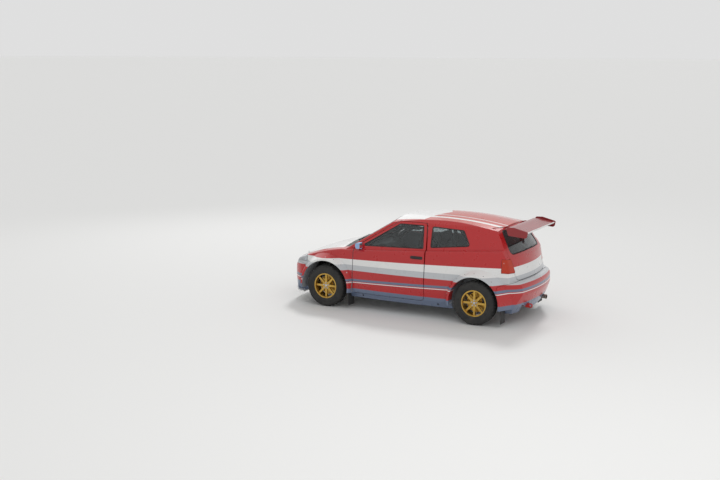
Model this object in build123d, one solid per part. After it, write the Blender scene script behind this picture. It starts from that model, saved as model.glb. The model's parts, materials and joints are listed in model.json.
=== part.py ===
from build123d import *
import math
import os

# A three-door hatchback rally car, in millimetres. +X points forward, +Y to the car's left and +Z up.
# The origin is on the ground, under the middle of the car's length and width.

# Driving dimensions of the whole car
LENGTH = 4000
WIDTH = 1820
WHEELBASE = 2490
FRONT_AXLE_X = 1200
REAR_AXLE_X = FRONT_AXLE_X - WHEELBASE
WHEEL_Y = 800
TYRE_R = 325
TYRE_HALF_WIDTH = 92
RIM_R = 196

# Curvature of the body's large surfaces
SIDE_R = 12000
SIDE_X = -50
NOSE_R = 1750
TAIL_R = 2600
CAB_SIDE_R = 16000
SCREEN_R = 2600
WING_TOP_R = 45
BONNET_CROWN_R = 4500
ROOF_CROWN_R = 2600

# Wall thicknesses and shut lines
SIDE_WALL = 55
CAB_WALL = 38
CORNER_WALL = 40
CORNER_TOP = 700
SKIN = 22
GLASS = 5
GLASS_SET_IN = 8
GAP = 5

# Wheel arches
ARCH_R_FRONT = 402
ARCH_R_REAR = 388
ARCH_INNER_Y = 505
FLARE_Y = WIDTH / 2
FLARE_SPREAD = 30
LINER = 8
LINER_OUTER_Y = 775

FLOOR_Z = 190
FLOOR_THICK = 30
REAR_FLOOR_X = -1010
REAR_FLOOR_Z = 330
BIG = 3000

# Body side section and cabin side section at the widest station, bottom to top
# columns: y, z, rounding radius
SIDE_SECTION = [
    (806, FLOOR_Z),
    (850, 280, 80),
    (874, 540, 900),
    (850, 810, 900),
    (834, 960, 200),
    (780, 1250),
]
CAB_SECTION = [
    (812, 880),
    (776, 1000, 300),
    (604, 1384, 90),
    (520, 1452, 40),
    (470, 1560),
]

# Centrelines of the car's upper surfaces
# columns: x, z
BONNET_LINE = [(1935, 672), (1450, 872), (900, 992)]
BELT_LINE = [(900, 985), (-550, 1085), (-1950, 1160)]
ROOF_LINE = [(200, 1440), (-480, 1495), (-1560, 1405)]

# Nose, windscreen and tail outlines on the centreline, bottom to top
# columns: x, z, rounding radius
NOSE_OUTLINE = [
    (1925, 100),
    (1962, 205, 60),
    (2000, 410, 200),
    (1994, 560, 120),
    (1950, 655, 60),
    (1880, 760),
    (1860, 1600),
]
SCREEN_OUTLINE = [(1180, 820), (60, 1500)]
TAIL_OUTLINE = [
    (-1850, 100),
    (-1940, 290, 80),
    (-2000, 460, 120),
    (-1996, 600, 60),
    (-1960, 644, 16),
    (-1884, 660, 16),
    (-1826, 985, 120),
    (-1552, 1405),
    (-1476, 1520),
]

# Plan outline of the front and rear corners, left half
# columns: x, y, rounding radius
PLAN_OUTLINE = [
    (LENGTH / 2 + 3, 0),
    (LENGTH / 2 + 3, 200, 300),
    (1935, 560, 350),
    (1800, 700, 350),
    (1600, 800, 500),
    (900, 930),
    (-900, 930),
    (-1640, 800, 400),
    (-1850, 690, 300),
    (-1960, 560, 300),
    (-LENGTH / 2 - 3, 200, 300),
    (-LENGTH / 2 - 3, 0),
]

# Shut lines and openings seen from the side
# columns: x, z, rounding radius
DOOR_OUTLINE = [
    (735, 268, 40),
    (735, 948, 10),
    (700, 985, 10),
    (40, 1392, 40),
    (-405, 1392, 40),
    (-470, 985, 60),
    (-478, 268, 60),
]
DOOR_OPENING = [
    (741, 262, 46),
    (741, 952, 10),
    (706, 992, 10),
    (42, 1398, 46),
    (-424, 1398, 46),
    (-490, 985, 60),
    (-484, 262, 66),
]
DOOR_WINDOW = [
    (628, 992, 20),
    (28, 1362, 30),
    (-368, 1362, 30),
    (-424, 1030, 20),
]
QUARTER_WINDOW = [
    (-528, 1052, 30),
    (-500, 1358, 30),
    (-1010, 1336, 40),
    (-1150, 1116, 30),
]
QUARTER_PANEL = [(-600, 100), (-600, 1200), (-900, 1200), (-900, 1600), (-2100, 1600), (-2100, 100)]

# Shut lines and openings seen from above, left half
# columns: x, y, rounding radius
BONNET_OUTLINE = [(1915, 0), (1890, 400, 200), (1770, 560, 120), (960, 700, 20), (1010, 0)]
ROOF_OUTLINE = [(260, 0), (260, 512), (-1620, 512), (-1620, 0)]

# Front and rear window openings seen from the front, left half
# columns: y, z, rounding radius
SCREEN_OPENING = [(0, 1004), (400, 992), (690, 966, 30), (512, 1392, 50), (0, 1422)]
HATCH_OPENING = [(0, 1035), (570, 1022, 50), (462, 1352, 60), (0, 1364)]
TAILGATE_OUTLINE = [(0, 658), (540, 658, 60), (650, 960, 90), (516, 1382, 40), (0, 1396)]

# Lamps
# columns: y, z, rounding radius
HEADLAMP = [(470, 640, 20), (800, 665, 20), (800, 760, 20), (560, 735, 20)]
TAIL_LAMP = [(556, 770, 20), (860, 790, 20), (860, 985, 20), (608, 975, 20)]
LAMP_DEPTH = 90

# Grille, splitter and mud flaps
GRILLE_SET_IN = 34
GRILLE_THICK = 6
GRILLE_PITCH = 86
# columns: z, number of slots
GRILLE_SLOTS = [(298, 12), (332, 12), (366, 12), (400, 12), (572, 8)]
SPLITTER_LOW = 172
SPLITTER_HIGH = 190
FLAP_THICK = 5
# columns: x, inner y, outer y
FLAPS = [(783, 700, 884), (-1712, 700, 880)]
FLAP_LOW = 62
FLAP_HIGH = 264

# Running gear
WHEEL_BORE_R = 20
RUNNING_FIT = 0.05
KINGPIN_Y = 650
PIN_R = 12
DISC_R = 145
STRUT_R = 26
SPRING_R = 56
PISTON_R = 11
STRUT_TOP_Z = 800
SPOKES = 8

# Towing eyes and jacking sockets
TOW_HOLE_R = 16
TOW_THICK = 14
JACK_X = (560, -700)
JACK_Z = 236
JACK_R = 16


def rounding(before, corner, after):
    """Start, middle and end of the arc that rounds a corner, kept within its two sides."""
    cx, cy, radius = corner
    ax, ay = before[0] - cx, before[1] - cy
    bx, by = after[0] - cx, after[1] - cy
    al, bl = math.hypot(ax, ay), math.hypot(bx, by)
    ax, ay, bx, by = ax / al, ay / al, bx / bl, by / bl
    half = math.acos(max(-1, min(1, ax * bx + ay * by))) / 2
    t = min(radius / math.tan(half), 0.48 * al, 0.48 * bl)
    radius = t * math.tan(half)
    mx, my = ax + bx, ay + by
    ml = math.hypot(mx, my)
    reach = radius / math.sin(half) - radius
    middle = (cx + mx / ml * reach, cy + my / ml * reach)
    return (cx + ax * t, cy + ay * t), middle, (cx + bx * t, cy + by * t)


def face_of(points):
    """A flat face from corner points, each with its rounding radius or none."""
    edges = []
    ends = []
    for i, p in enumerate(points):
        if len(p) > 2:
            start, middle, end = rounding(points[i - 1], p, points[(i + 1) % len(points)])
            edges.append(ThreePointArc(start, middle, end))
            ends.append((start, end))
        else:
            ends.append(((p[0], p[1]), (p[0], p[1])))
    for here, following in zip(ends, ends[1:] + ends[:1]):
        edges.append(Line(here[1], following[0]))
    return make_face(edges).face()


def prism_y(points, low, high):
    """An outline seen from the side, columns x and z, run across the car."""
    face = Pos(0, low, 0) * (Plane.XZ * face_of(points))
    return extrude(face, amount=high - low, dir=(0, 1, 0))


def prism_z(points, low, high):
    """An outline seen from above, columns x and y, run upwards."""
    return extrude(Pos(0, 0, low) * face_of(points), amount=high - low, dir=(0, 0, 1))


def prism_x(points, low, high):
    """An outline seen from the front, columns y and z, run along the car."""
    face = Pos(low, 0, 0) * (Plane.YZ * face_of(points))
    return extrude(face, amount=high - low, dir=(1, 0, 0))


def block(low, high):
    """A box between two corners."""
    size = [h - l for l, h in zip(low, high)]
    return Pos(*low) * Box(*size, align=(Align.MIN, Align.MIN, Align.MIN))


def circle_through(points, drop=0):
    """Centre and radius of the circle through three points, its radius less a drop."""
    (ax, ay), (bx, by), (cx, cy) = points
    d = 2 * (ax * (by - cy) + bx * (cy - ay) + cx * (ay - by))
    ux = ((ax**2 + ay**2) * (by - cy) + (bx**2 + by**2) * (cy - ay) + (cx**2 + cy**2) * (ay - by)) / d
    uy = ((ax**2 + ay**2) * (cx - bx) + (bx**2 + by**2) * (ax - cx) + (cx**2 + cy**2) * (bx - ax)) / d
    return ux, uy, math.hypot(ax - ux, ay - uy) - drop


def barrel(points, crown_r, drop=0, half_width=1100):
    """What lies under an upper surface: curved along the car through three points, and crowned across it."""
    cx, cz, r = circle_through(points, drop)
    edge = r - (crown_r - math.sqrt(crown_r**2 - half_width**2))
    inner = max(r - 2000, r / 10)
    sides = [
        Line((-half_width, inner), (half_width, inner)),
        Line((half_width, inner), (half_width, edge)),
        ThreePointArc((half_width, edge), (0, r), (-half_width, edge)),
        Line((-half_width, edge), (-half_width, inner)),
    ]
    face = Pos(cx, 0, cz) * (Plane.YZ * make_face(sides))
    sweep = 2 * math.degrees(math.asin(min(0.99, 2600 / r)))
    lean = math.degrees(math.atan2(0 - cx, r))
    axis = Axis((cx, 0, cz), (0, 1, 0))
    return revolve(face.rotate(axis, lean - sweep / 2), axis, sweep)


def drum_side(section, radius, inset=0):
    """What lies inside a body side: a section with columns y and z, turned about a far upright axis."""
    axis_y = max(p[0] for p in section) - radius
    pts = [(p[0] - inset,) + tuple(p[1:]) for p in section]
    inner = pts[0][0] - 2 * WIDTH
    outline = [(inner, pts[0][1])] + pts + [(inner, pts[-1][1])]
    face = Pos(SIDE_X, 0, 0) * (Plane.YZ * face_of(outline))
    axis = Axis((SIDE_X, axis_y, 0), (0, 0, 1))
    sweep = 2 * math.degrees(math.asin(2400 / radius))
    left = revolve(face.rotate(axis, -sweep / 2), axis, sweep)
    return left & mirror(left, Plane.XZ)


def drum_end(points, radius, forward, inset=0):
    """What lies behind an end surface: an outline with columns x and z, turned about an upright axis."""
    sign = 1 if forward else -1
    axis_x = sign * (max(abs(p[0]) for p in points) - radius)
    pts = [(p[0] - sign * inset,) + tuple(p[1:]) for p in points]
    outline = [(axis_x, pts[0][1])] + pts + [(axis_x, pts[-1][1])]
    face = Plane.XZ * face_of(outline)
    axis = Axis((axis_x, 0, 0), (0, 0, 1))
    turned = revolve(face.rotate(axis, -90), axis, 180)
    if forward:
        behind = block((-BIG, -BIG, 0), (axis_x, BIG, BIG))
    else:
        behind = block((axis_x, -BIG, 0), (BIG, BIG, BIG))
    return turned + behind


def both(shape):
    """A left-hand piece together with its mirror image on the right."""
    return Part() + [shape, mirror(shape, Plane.XZ)]


def half_to_full(points):
    """A plan outline of the left half, closed by its mirror image."""
    right = [(p[0], -p[1]) + tuple(p[2:]) for p in reversed(points) if p[1] != 0]
    return points + right


def wheel_drum(x, radius, low_y, high_y):
    """A cylinder across the car at wheel height."""
    base = Plane((x, low_y, TYRE_R), x_dir=(1, 0, 0), z_dir=(0, 1, 0))
    return extrude(base * Circle(radius), amount=high_y - low_y)


def flare(x, radius):
    """A box flare over one left wheel: a cone that stands out of the side, cut off below the sill."""
    wide = Plane((x, 690, TYRE_R), x_dir=(1, 0, 0), z_dir=(0, 1, 0)) * Circle(radius + 150)
    narrow = Plane((x, FLARE_Y, TYRE_R), x_dir=(1, 0, 0), z_dir=(0, 1, 0)) * Circle(radius + FLARE_SPREAD)
    cone = loft([wide, narrow])
    return cone & block((x - 700, 600, 262), (x + 700, 1000, 900))


def lower_body(side_inset=0, drop=0, end_inset=0):
    """The body up to its belt line and bonnet, solid, with its surfaces moved inward where asked."""
    side = drum_side(SIDE_SECTION, SIDE_R, side_inset)
    front = barrel(BONNET_LINE, BONNET_CROWN_R, drop) + block((-BIG, -1100, -10), (880, 1100, BIG))
    body = side & barrel(BELT_LINE, BONNET_CROWN_R, drop) & front
    body = body & drum_end(NOSE_OUTLINE, NOSE_R, True, end_inset)
    return body & drum_end(TAIL_OUTLINE, TAIL_R, False, end_inset)


def cab(side_inset=0, drop=0, end_inset=0, foot=880):
    """The glasshouse above the belt line, solid, with its surfaces moved inward where asked."""
    side = drum_side(CAB_SECTION, CAB_SIDE_R, side_inset)
    top = barrel(ROOF_LINE, ROOF_CROWN_R, drop, half_width=900)
    body = side & top & drum_end(SCREEN_OUTLINE, SCREEN_R, True, end_inset)
    body = body & drum_end(TAIL_OUTLINE, TAIL_R, False, end_inset)
    return body & block((-BIG, -BIG, foot), (BIG, BIG, BIG))


def soften_wing_tops(body):
    """The body with the long edges between bonnet and front wings rounded."""
    edges = []
    for edge in body.edges():
        box = edge.bounding_box()
        ahead = box.min.X >= 899 and box.max.X - box.min.X > 5
        high = box.min.Z > 660 and abs(edge.center().Y) > 600
        if ahead and high and edge.length < 720:
            edges.append(edge)
    return body.fillet(WING_TOP_R, edges)


def outer_body():
    """The whole outer form, solid, with the wheel arches opened."""
    plan = prism_z(half_to_full(PLAN_OUTLINE), 100, 1600)
    body = soften_wing_tops(lower_body() & plan) + cab()
    body = body + both(flare(FRONT_AXLE_X, ARCH_R_FRONT)) + both(flare(REAR_AXLE_X, ARCH_R_REAR))
    body = body - both(wheel_drum(FRONT_AXLE_X, ARCH_R_FRONT, ARCH_INNER_Y, 1000))
    half = ARCH_INNER_Y - LINER
    body = body - block((-1895, -half, 100), (REAR_FLOOR_X, half, REAR_FLOOR_Z))
    return body - both(wheel_drum(REAR_AXLE_X, ARCH_R_REAR, ARCH_INNER_Y, 1000))


def grow(points, d):
    """An outline moved outward by d, corners mitred, its roundings kept."""
    count = len(points)
    area = sum(a[0] * b[1] - b[0] * a[1] for a, b in zip(points, points[1:] + points[:1]))
    turn = 1 if area > 0 else -1
    out = []
    for i, p in enumerate(points):
        a, b = points[i - 1], points[(i + 1) % count]
        ux, uy = p[0] - a[0], p[1] - a[1]
        vx, vy = b[0] - p[0], b[1] - p[1]
        ul, vl = math.hypot(ux, uy), math.hypot(vx, vy)
        n1 = (turn * uy / ul, -turn * ux / ul)
        n2 = (turn * vy / vl, -turn * vx / vl)
        k = d / (1 + n1[0] * n2[0] + n1[1] * n2[1])
        out.append((p[0] + k * (n1[0] + n2[0]), p[1] + k * (n1[1] + n2[1])) + tuple(p[2:]))
    return out


def cabin_space():
    """The hollow of the cabin and boot, between floor, side walls, firewall and tailgate."""
    low = lower_body(SIDE_WALL, SKIN, 40) & block((-1940, -BIG, FLOOR_Z + FLOOR_THICK), (860, BIG, BIG))
    low = low - block((-1940, -640, 100), (REAR_FLOOR_X + FLOOR_THICK, 640, REAR_FLOOR_Z + FLOOR_THICK))
    space = low + (cab(CAB_WALL, SKIN, 30, foot=860) & block((-BIG, -BIG, 0), (860, BIG, BIG)))
    for x, r in ((FRONT_AXLE_X, ARCH_R_FRONT), (REAR_AXLE_X, ARCH_R_REAR)):
        space = space - both(wheel_drum(x, r + LINER, ARCH_INNER_Y - LINER, 1000))
    return space


def corner_walls():
    """What the rear corners' walls keep of the hollow, below the lamps."""
    inside = prism_z(grow(half_to_full(PLAN_OUTLINE), -CORNER_WALL), 100, BIG)
    return block((-1960, -BIG, 150), (-1700, BIG, CORNER_TOP)) - inside


def engine_space():
    """The hollow under the bonnet, between the wheel housings and behind the bumper."""
    space = lower_body(SIDE_WALL, SKIN, 60) & block((880, -BIG, 100), (1900, BIG, BIG))
    return space - both(wheel_drum(FRONT_AXLE_X, ARCH_R_FRONT + LINER, ARCH_INNER_Y - LINER, 1000))


def across(points):
    """An outline of the left half seen from the front, closed by its mirror image."""
    right = [(-p[0], p[1]) + tuple(p[2:]) for p in reversed(points) if p[0] != 0]
    return points + right


def front_cap_region(grown=0):
    """Where the front bumper lies: ahead of the arches and below the bonnet's edge and lamps."""
    pts = [(1606, 100), (2100, 100), (2100, 770), (1945, 770), (1790, 648), (1606, 600)]
    return prism_y(grow(pts, grown), -1000, 1000)


def rear_cap_region(grown=0):
    """Where the rear bumper lies: behind the arches and below the tailgate."""
    pts = [(-1682, 100), (-2100, 100), (-2100, 655), (-1850, 655), (-1640, 600)]
    return prism_y(grow(pts, grown), -1000, 1000)


def bonnet_region(grown=0):
    """Where the bonnet lies, in plan."""
    return prism_z(grow(half_to_full(BONNET_OUTLINE), grown), 500, 1200)


def tailgate_region(grown=0):
    """Where the tailgate lies, seen from behind."""
    region = prism_x(grow(across(TAILGATE_OUTLINE), grown), -2100, -1300)
    return region


def door_region(outline):
    """Where the left door lies, seen from the side."""
    return prism_y(outline, 450, 1000)


def pane(surface, hole, inset):
    """A pane of glass: a thin layer of a body form just below its surface, within an opening."""
    return (surface(inset) - surface(inset + GLASS)) & hole


def lamp_region(outline, low_x, high_x, grown=0):
    """Where the left lamp of a pair lies."""
    return prism_x(grow(outline, grown), low_x, high_x)


def lamp_holes():
    """The holes that the lamps fill, a little larger than the lamps."""
    head = both(lamp_region(HEADLAMP, 1600, 2100, 3))
    return head + both(lamp_region(TAIL_LAMP, -2100, -1650, 3))


def mirrored(shape):
    """The right-hand twin of a left-hand piece."""
    return mirror(shape, Plane.XZ)


def tube(points, radius, wall=0):
    """A round bar along straight runs with ball joints, hollow where a wall is given."""
    out = Part()
    for a, b in zip(points, points[1:]):
        out += rod(a, b, radius)
    for p in points[1:-1]:
        out += Pos(*p) * Sphere(radius)
    return out


def rod(a, b, radius, tip=None):
    """A round bar, or a cone where the far end's radius is given, between two points."""
    direction = Vector(*b) - Vector(*a)
    plane = Plane(origin=a, z_dir=direction)
    if tip is None:
        return extrude(plane * Circle(radius), amount=direction.length)
    end = Plane(origin=b, z_dir=direction, x_dir=plane.x_dir)
    return loft([plane * Circle(radius), end * Circle(tip)])


def body_panels(outer, shell):
    """The panels and the frame, cut out of the hollow shell along the shut lines."""
    out = {}
    hatch_hole = prism_x(across(HATCH_OPENING), -2000, -1350)
    bonnet = (outer & bonnet_region(-GAP / 2)) - lower_body(-30, SKIN, -30)
    out["bonnet"] = bonnet & block((955, -BIG, 600), (1925, BIG, 1100))
    rest = shell - bonnet_region(GAP / 2)

    out["front_bumper"] = (rest & front_cap_region(-2)) - mouth_regions()
    out["rear_bumper"] = rest & rear_cap_region(-2)
    rest = rest - front_cap_region(2) - rear_cap_region(2)

    behind = block((-BIG, -BIG, 0), (-1400, BIG, BIG))
    out["tailgate"] = largest((rest & tailgate_region(-3) & behind) - hatch_hole)
    rest = rest - tailgate_region(3)

    rest = rest - prism_x(across(SCREEN_OPENING), 0, 912)
    roof_cut = prism_z(half_to_full(ROOF_OUTLINE), 1250, 1560)
    out["roof_skin"] = rest & prism_z(grow(half_to_full(ROOF_OUTLINE), -1.5), 1250, 1560)
    rest = rest - roof_cut

    for name, x, r in (("front", FRONT_AXLE_X, ARCH_R_FRONT), ("rear", REAR_AXLE_X, ARCH_R_REAR)):
        liners = both(wheel_drum(x, r + LINER + 3, ARCH_INNER_Y - LINER - 1, LINER_OUTER_Y))
        out[name + "_arch_liners"] = rest & liners
        rest = rest - liners

    seam = FLOOR_THICK + 1
    cowl_zone = block((750, -650, FLOOR_Z + seam), (1040, 650, 1100))
    out["firewall"] = largest(rest & cowl_zone)
    rest = rest - cowl_zone

    low_floor = block((REAR_FLOOR_X, -700, 100), (900, 700, FLOOR_Z + seam))
    high_floor = block((-1960, -661, 100), (REAR_FLOOR_X + seam, 661, REAR_FLOOR_Z + seam))
    out["floor_pan"] = largest(rest & (low_floor + high_floor))
    rest = rest - low_floor - high_floor

    zone = prism_y([(745, 262), (745, 940), (900, 1000), (2100, 1000), (2100, 110)], 350, 1000)
    out["fender_left"] = largest(rest & zone)
    rest = rest - both(prism_y([(741, 258), (741, 944), (898, 1004), (2100, 1004), (2100, 100)], 350, 1000))

    door = (rest & door_region(DOOR_OUTLINE)) - door_region(DOOR_WINDOW)
    out["door_left"] = largest(door)
    rest = rest - both(door_region(DOOR_OPENING)) - both(door_region(QUARTER_WINDOW))
    side = rest & block((-BIG, 0, 0), (BIG, BIG, BIG))
    out["side_frame_left"] = largest(side - prism_y(QUARTER_PANEL, 0, 1000))
    out["quarter_panel_left"] = largest(side & prism_y(QUARTER_PANEL, 0, 1000))
    return out


def largest(shape):
    """The biggest solid of a shape."""
    return max(shape.solids(), key=lambda s: s.volume)


def mouth_regions():
    """The openings in the front bumper: a wide mouth and a slot above it."""
    low = prism_x(across([(0, 270), (560, 270, 50), (600, 430, 40), (0, 445)]), 1700, 2100)
    slot = prism_x(across([(0, 540), (420, 540, 20), (440, 600, 20), (0, 605)]), 1700, 2100)
    return low + slot


def grille():
    """The grille: a thin slotted sheet set back in the bumper's mouth and slot."""
    sheet = lower_body(0, 0, GRILLE_SET_IN) - lower_body(0, 0, GRILLE_SET_IN + GRILLE_THICK)
    sheet = sheet & mouth_regions()
    slots = block((1700, -314, 305), (2100, -286, 412))
    for z, count in GRILLE_SLOTS:
        for i in range(count):
            y = (i - (count - 1) / 2) * GRILLE_PITCH
            slots += block((1700, y - 35, z - 10), (2100, y + 35, z + 10))
    return sheet - slots


def side_surface(depth):
    """The cab's form with its sides moved in to a side pane's place."""
    return cab(GLASS_SET_IN + depth, 0, 0, 900)


def end_surface(depth):
    """The cab's form with its ends moved in to a screen's place."""
    return cab(0, 0, GLASS_SET_IN + depth, 900)


def glass_nodes():
    """The panes, each set a little below the body around it."""
    door = pane(side_surface, door_region(grow(DOOR_WINDOW, -1)), 0)
    quarter = pane(side_surface, door_region(grow(QUARTER_WINDOW, -1)), 0)
    front = pane(end_surface, prism_x(grow(across(SCREEN_OPENING), -1), 0, 1150), 0)
    rear = pane(end_surface, prism_x(grow(across(HATCH_OPENING), -1), -2000, -1350), 0)
    return {
        "door_glass_left": door,
        "quarter_glass": both(quarter),
        "windscreen": front,
        "rear_glass": rear,
    }


def lamp_nodes(outer):
    """Head and tail lamps: solid units flush with the body."""
    back = outer - lower_body(LAMP_DEPTH, 0, LAMP_DEPTH)
    head = (back & both(lamp_region(HEADLAMP, 1603, 2100))) - bonnet_region(GAP / 2)
    tail = back & both(lamp_region(TAIL_LAMP, -2100, -1653))
    return {"headlamps": head, "tail_lamps": tail}


def wheel_plane(x, y):
    """A plane at a left wheel, facing outward, its own X forward."""
    return Plane((x, y, TYRE_R), x_dir=(1, 0, 0), z_dir=(0, 1, 0))


def turned(x, section):
    """A ring about a left wheel's axis, from a section with columns y from the wheel's middle, and radius."""
    pts = [(WHEEL_Y + y, TYRE_R + r) for y, r in section]
    face = Pos(x, 0, 0) * (Plane.YZ * make_face(Polyline(*pts, close=True)))
    return revolve(face, Axis((x, 0, TYRE_R), (0, 1, 0)), 360)


def tyre(x):
    """A tyre: rounded shoulders, upright walls and a bead that sits on the rim."""
    w = TYRE_HALF_WIDTH
    section = [
        (-w + 14, RIM_R),
        (-w, 232),
        (-w - 1, 275),
        (-w + 8, 308),
        (-w + 24, 322),
        (0, TYRE_R),
        (w - 24, 322),
        (w - 8, 308),
        (w + 1, 275),
        (w, 232),
        (w - 14, RIM_R),
    ]
    return turned(x, section)


def rim(x):
    """A spoked rim with its hub and brake disc."""
    lip = TYRE_HALF_WIDTH - 15
    barrel_ring = [
        (-lip, RIM_R),
        (lip, RIM_R),
        (lip, RIM_R - 18),
        (lip - 14, RIM_R - 22),
        (-lip, RIM_R - 12),
    ]
    ring = turned(x, barrel_ring)
    hub = turned(x, [(-24, WHEEL_BORE_R), (-24, 72), (10, 72), (50, 62), (50, WHEEL_BORE_R)])
    disc = turned(x, [(-46, WHEEL_BORE_R), (-46, DISC_R), (-24, DISC_R), (-24, WHEEL_BORE_R)])
    face = wheel_plane(x, WHEEL_Y + 28)
    tip_r = RIM_R - 14
    outline = Polyline((55, -19), (tip_r, -13), (tip_r, 13), (55, 19), close=True)
    spoke = extrude(face * make_face(outline), amount=24)
    axis = Axis((x, 0, TYRE_R), (0, 1, 0))
    out = ring + hub + disc
    for i in range(SPOKES):
        out += spoke.rotate(axis, 360 * i / SPOKES)
    return out


def strut(x):
    """A left spring strut: damper body, spring sleeve between its two seats, and piston rod."""
    seat_r = SPRING_R + 6
    stages = [
        (380, 670, Circle(STRUT_R)),
        (670, 676, Circle(seat_r)),
        (676, 768, Circle(SPRING_R) - Circle(SPRING_R - 10)),
        (768, 774, Circle(seat_r)),
        (670, STRUT_TOP_Z, Circle(PISTON_R)),
    ]
    out = Part()
    for low, high, section in stages:
        out += extrude(Plane((x, KINGPIN_Y, low)) * section, amount=high - low)
    return out


def upright(x):
    """A left upright: the casting behind the wheel, its spindle and the brake caliper over the disc."""
    out = block((x - 38, KINGPIN_Y - 34, 262), (x + 38, KINGPIN_Y + 30, 400))
    arm = extrude(wheel_plane(x, KINGPIN_Y + 20) * Circle(62), amount=56)
    spindle_length = WHEEL_Y + 44 - KINGPIN_Y
    spindle = extrude(wheel_plane(x, KINGPIN_Y) * Circle(WHEEL_BORE_R - RUNNING_FIT), amount=spindle_length)
    bridge = extrude(wheel_plane(x, 742) * (Circle(168) - Circle(105)), amount=52)
    wedge = prism_y([(x, TYRE_R), (x - 190, TYRE_R + 120), (x - 190, TYRE_R - 30)], 700, 900)
    slot = extrude(wheel_plane(x, WHEEL_Y - 46 - 5) * Circle(DISC_R + 6), amount=32)
    caliper = (bridge & wedge) - slot
    stay = prism_y([(x - 30, 300), (x - 130, 330), (x - 130, 395), (x - 20, 395)], 722, 744)
    return out + arm + spindle + caliper + stay


def knuckle_left():
    """The steered front upright with its strut and the pin of its lower ball joint."""
    x = FRONT_AXLE_X
    pin = extrude(Plane((x, KINGPIN_Y, 215)) * Circle(PIN_R), amount=50)
    tie_arm = block((x + 30, KINGPIN_Y - 14, 300), (x + 120, KINGPIN_Y + 8, 322))
    return upright(x) + strut(x) + pin + tie_arm


def lower_arm(x, inner_y, outer_y, z, spread):
    """A left wishbone from two inner bushes to one outer eye."""
    eye = Plane((x, outer_y, z))
    out = extrude(eye * Circle(30), amount=24)
    for dx in (-spread, spread):
        out += rod((x + dx, inner_y, z + 12), (x, outer_y, z + 12), 13)
        out += rod((x + dx - 28, inner_y, z + 12), (x + dx + 28, inner_y, z + 12), 22)
    return out - extrude(Plane((x, outer_y, z - 9)) * Circle(PIN_R + RUNNING_FIT), amount=42)


def front_suspension():
    """Subframe, lower arms and steering rack."""
    x = FRONT_AXLE_X
    arms = both(lower_arm(x, 330, KINGPIN_Y, 222, 110))
    frame = block((x - 150, -330, 205), (x - 70, 330, 262)) + block((x + 70, -330, 205), (x + 150, 330, 262))
    frame += both(block((x - 200, 290, 205), (x + 200, 330, 262)))
    for low_x in (x - 200, x + 155):
        frame += block((low_x, -380, 205), (low_x + 45, 380, 262))
    rack = rod((x - 110, -420, 300), (x - 110, 420, 300), 24)
    rack += both(block((x - 125, 180, 255), (x - 95, 220, 300)))
    towers = extrude(Plane((x, KINGPIN_Y, 738)) * (Circle(92) - Circle(84)), amount=74)
    cap = extrude(Plane((x, KINGPIN_Y, 806)) * (Circle(92) - Circle(17)), amount=6)
    return arms + frame + rack, both(towers + cap)


def rear_axle():
    """A torsion beam with trailing arms, uprights and struts."""
    x = REAR_AXLE_X
    beam = rod((x + 190, -470, 290), (x + 190, 470, 290), 34)
    arm = rod((x + 262, 440, 290), (x + 20, 440, 290), 27) + rod((x, 440, 290), (x, KINGPIN_Y, 325), 30)
    return beam + both(arm + upright(x) + strut(x))


def engine_block():
    """The engine and gearbox as one plain mass."""
    block_part = block((1235, -300, 275), (1520, 330, 640)) + block((1260, -240, 640), (1470, 270, 740))
    return block_part + block((1275, -372, 275), (1460, -300, 500))


def front_rails():
    """Two chassis rails with a cross panel, the radiator's frame and the strut towers' bridges."""
    rail = block((880, 380, 400), (1860, 440, 490))
    legs = block((1000, 380, 205), (1045, 440, 400)) + block((1355, 380, 205), (1400, 440, 400))
    cross = block((1800, -440, 400), (1860, 440, 490))
    return both(rail) + cross + both(legs)


def radiator():
    """The radiator behind the mouth."""
    return block((1700, -330, 240), (1745, 330, 395)) + block((1700, -330, 495), (1745, 330, 620))


def sump_guard():
    """The plate under the engine, turned up at the front."""
    pts = [(900, 190), (1560, 190), (1700, 232), (1700, 240), (1556, 199), (900, 199)]
    plate = prism_y(pts, -270, 270)
    return plate + both(block((900, 240, 199), (1050, 270, 205)))


def seat():
    """A bucket seat for the left side: cushion, back with wings, and two rails on the floor."""
    y = 365
    profile = [
        (255, 330, 30),
        (250, 410, 40),
        (-60, 372, 60),
        (-190, 800, 30),
        (-235, 1130, 40),
        (-300, 1130, 30),
        (-262, 780, 60),
        (-150, 290, 60),
    ]
    shell = prism_y(profile, y - 235, y + 235)
    wing = [(240, 300, 40), (230, 470, 40), (20, 500, 120), (-60, 900, 60), (-230, 960, 60), (-150, 290, 60)]
    wings = prism_y(wing, y - 262, y - 205) + prism_y(wing, y + 205, y + 262)
    rails = block((-110, y - 200, 220), (200, y - 160, 330))
    rails += block((-110, y + 160, 220), (200, y + 200, 330))
    return shell + wings + rails


def dashboard():
    """The dashboard across the cabin, with a hood over the dials."""
    pts = [(855, 560), (700, 560), (560, 640, 40), (560, 800, 40), (640, 880, 60), (855, 915)]
    board = prism_y(pts, -650, 650) & cabin_space()
    hood = prism_y([(560, 780, 10), (520, 880, 20), (640, 915, 60), (760, 890)], 250, 490)
    return board + hood


def steering_wheel():
    """The steering wheel and its column."""
    centre = Vector(430, 370, 800)
    tilt = math.radians(22)
    lean = Plane(origin=centre, z_dir=(-math.cos(tilt), 0, math.sin(tilt)))
    outer_half = [(158, 6), (166, 13), (178, 13), (186, 6)]
    ring_section = outer_half + [(r, -z) for r, z in reversed(outer_half)]
    ring = lean * revolve(Plane.XZ * face_of(ring_section), Axis.Z, 360)
    boss = extrude(lean * Circle(38), amount=-30)
    column = extrude(lean * Circle(16), amount=-118)
    out = ring + boss + column
    for angle in (0, 120, 240):
        spoke = Rot(0, 0, angle) * Pos(88, 0) * Rectangle(160, 26)
        out += extrude(lean * spoke, amount=-8)
    return out


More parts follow.
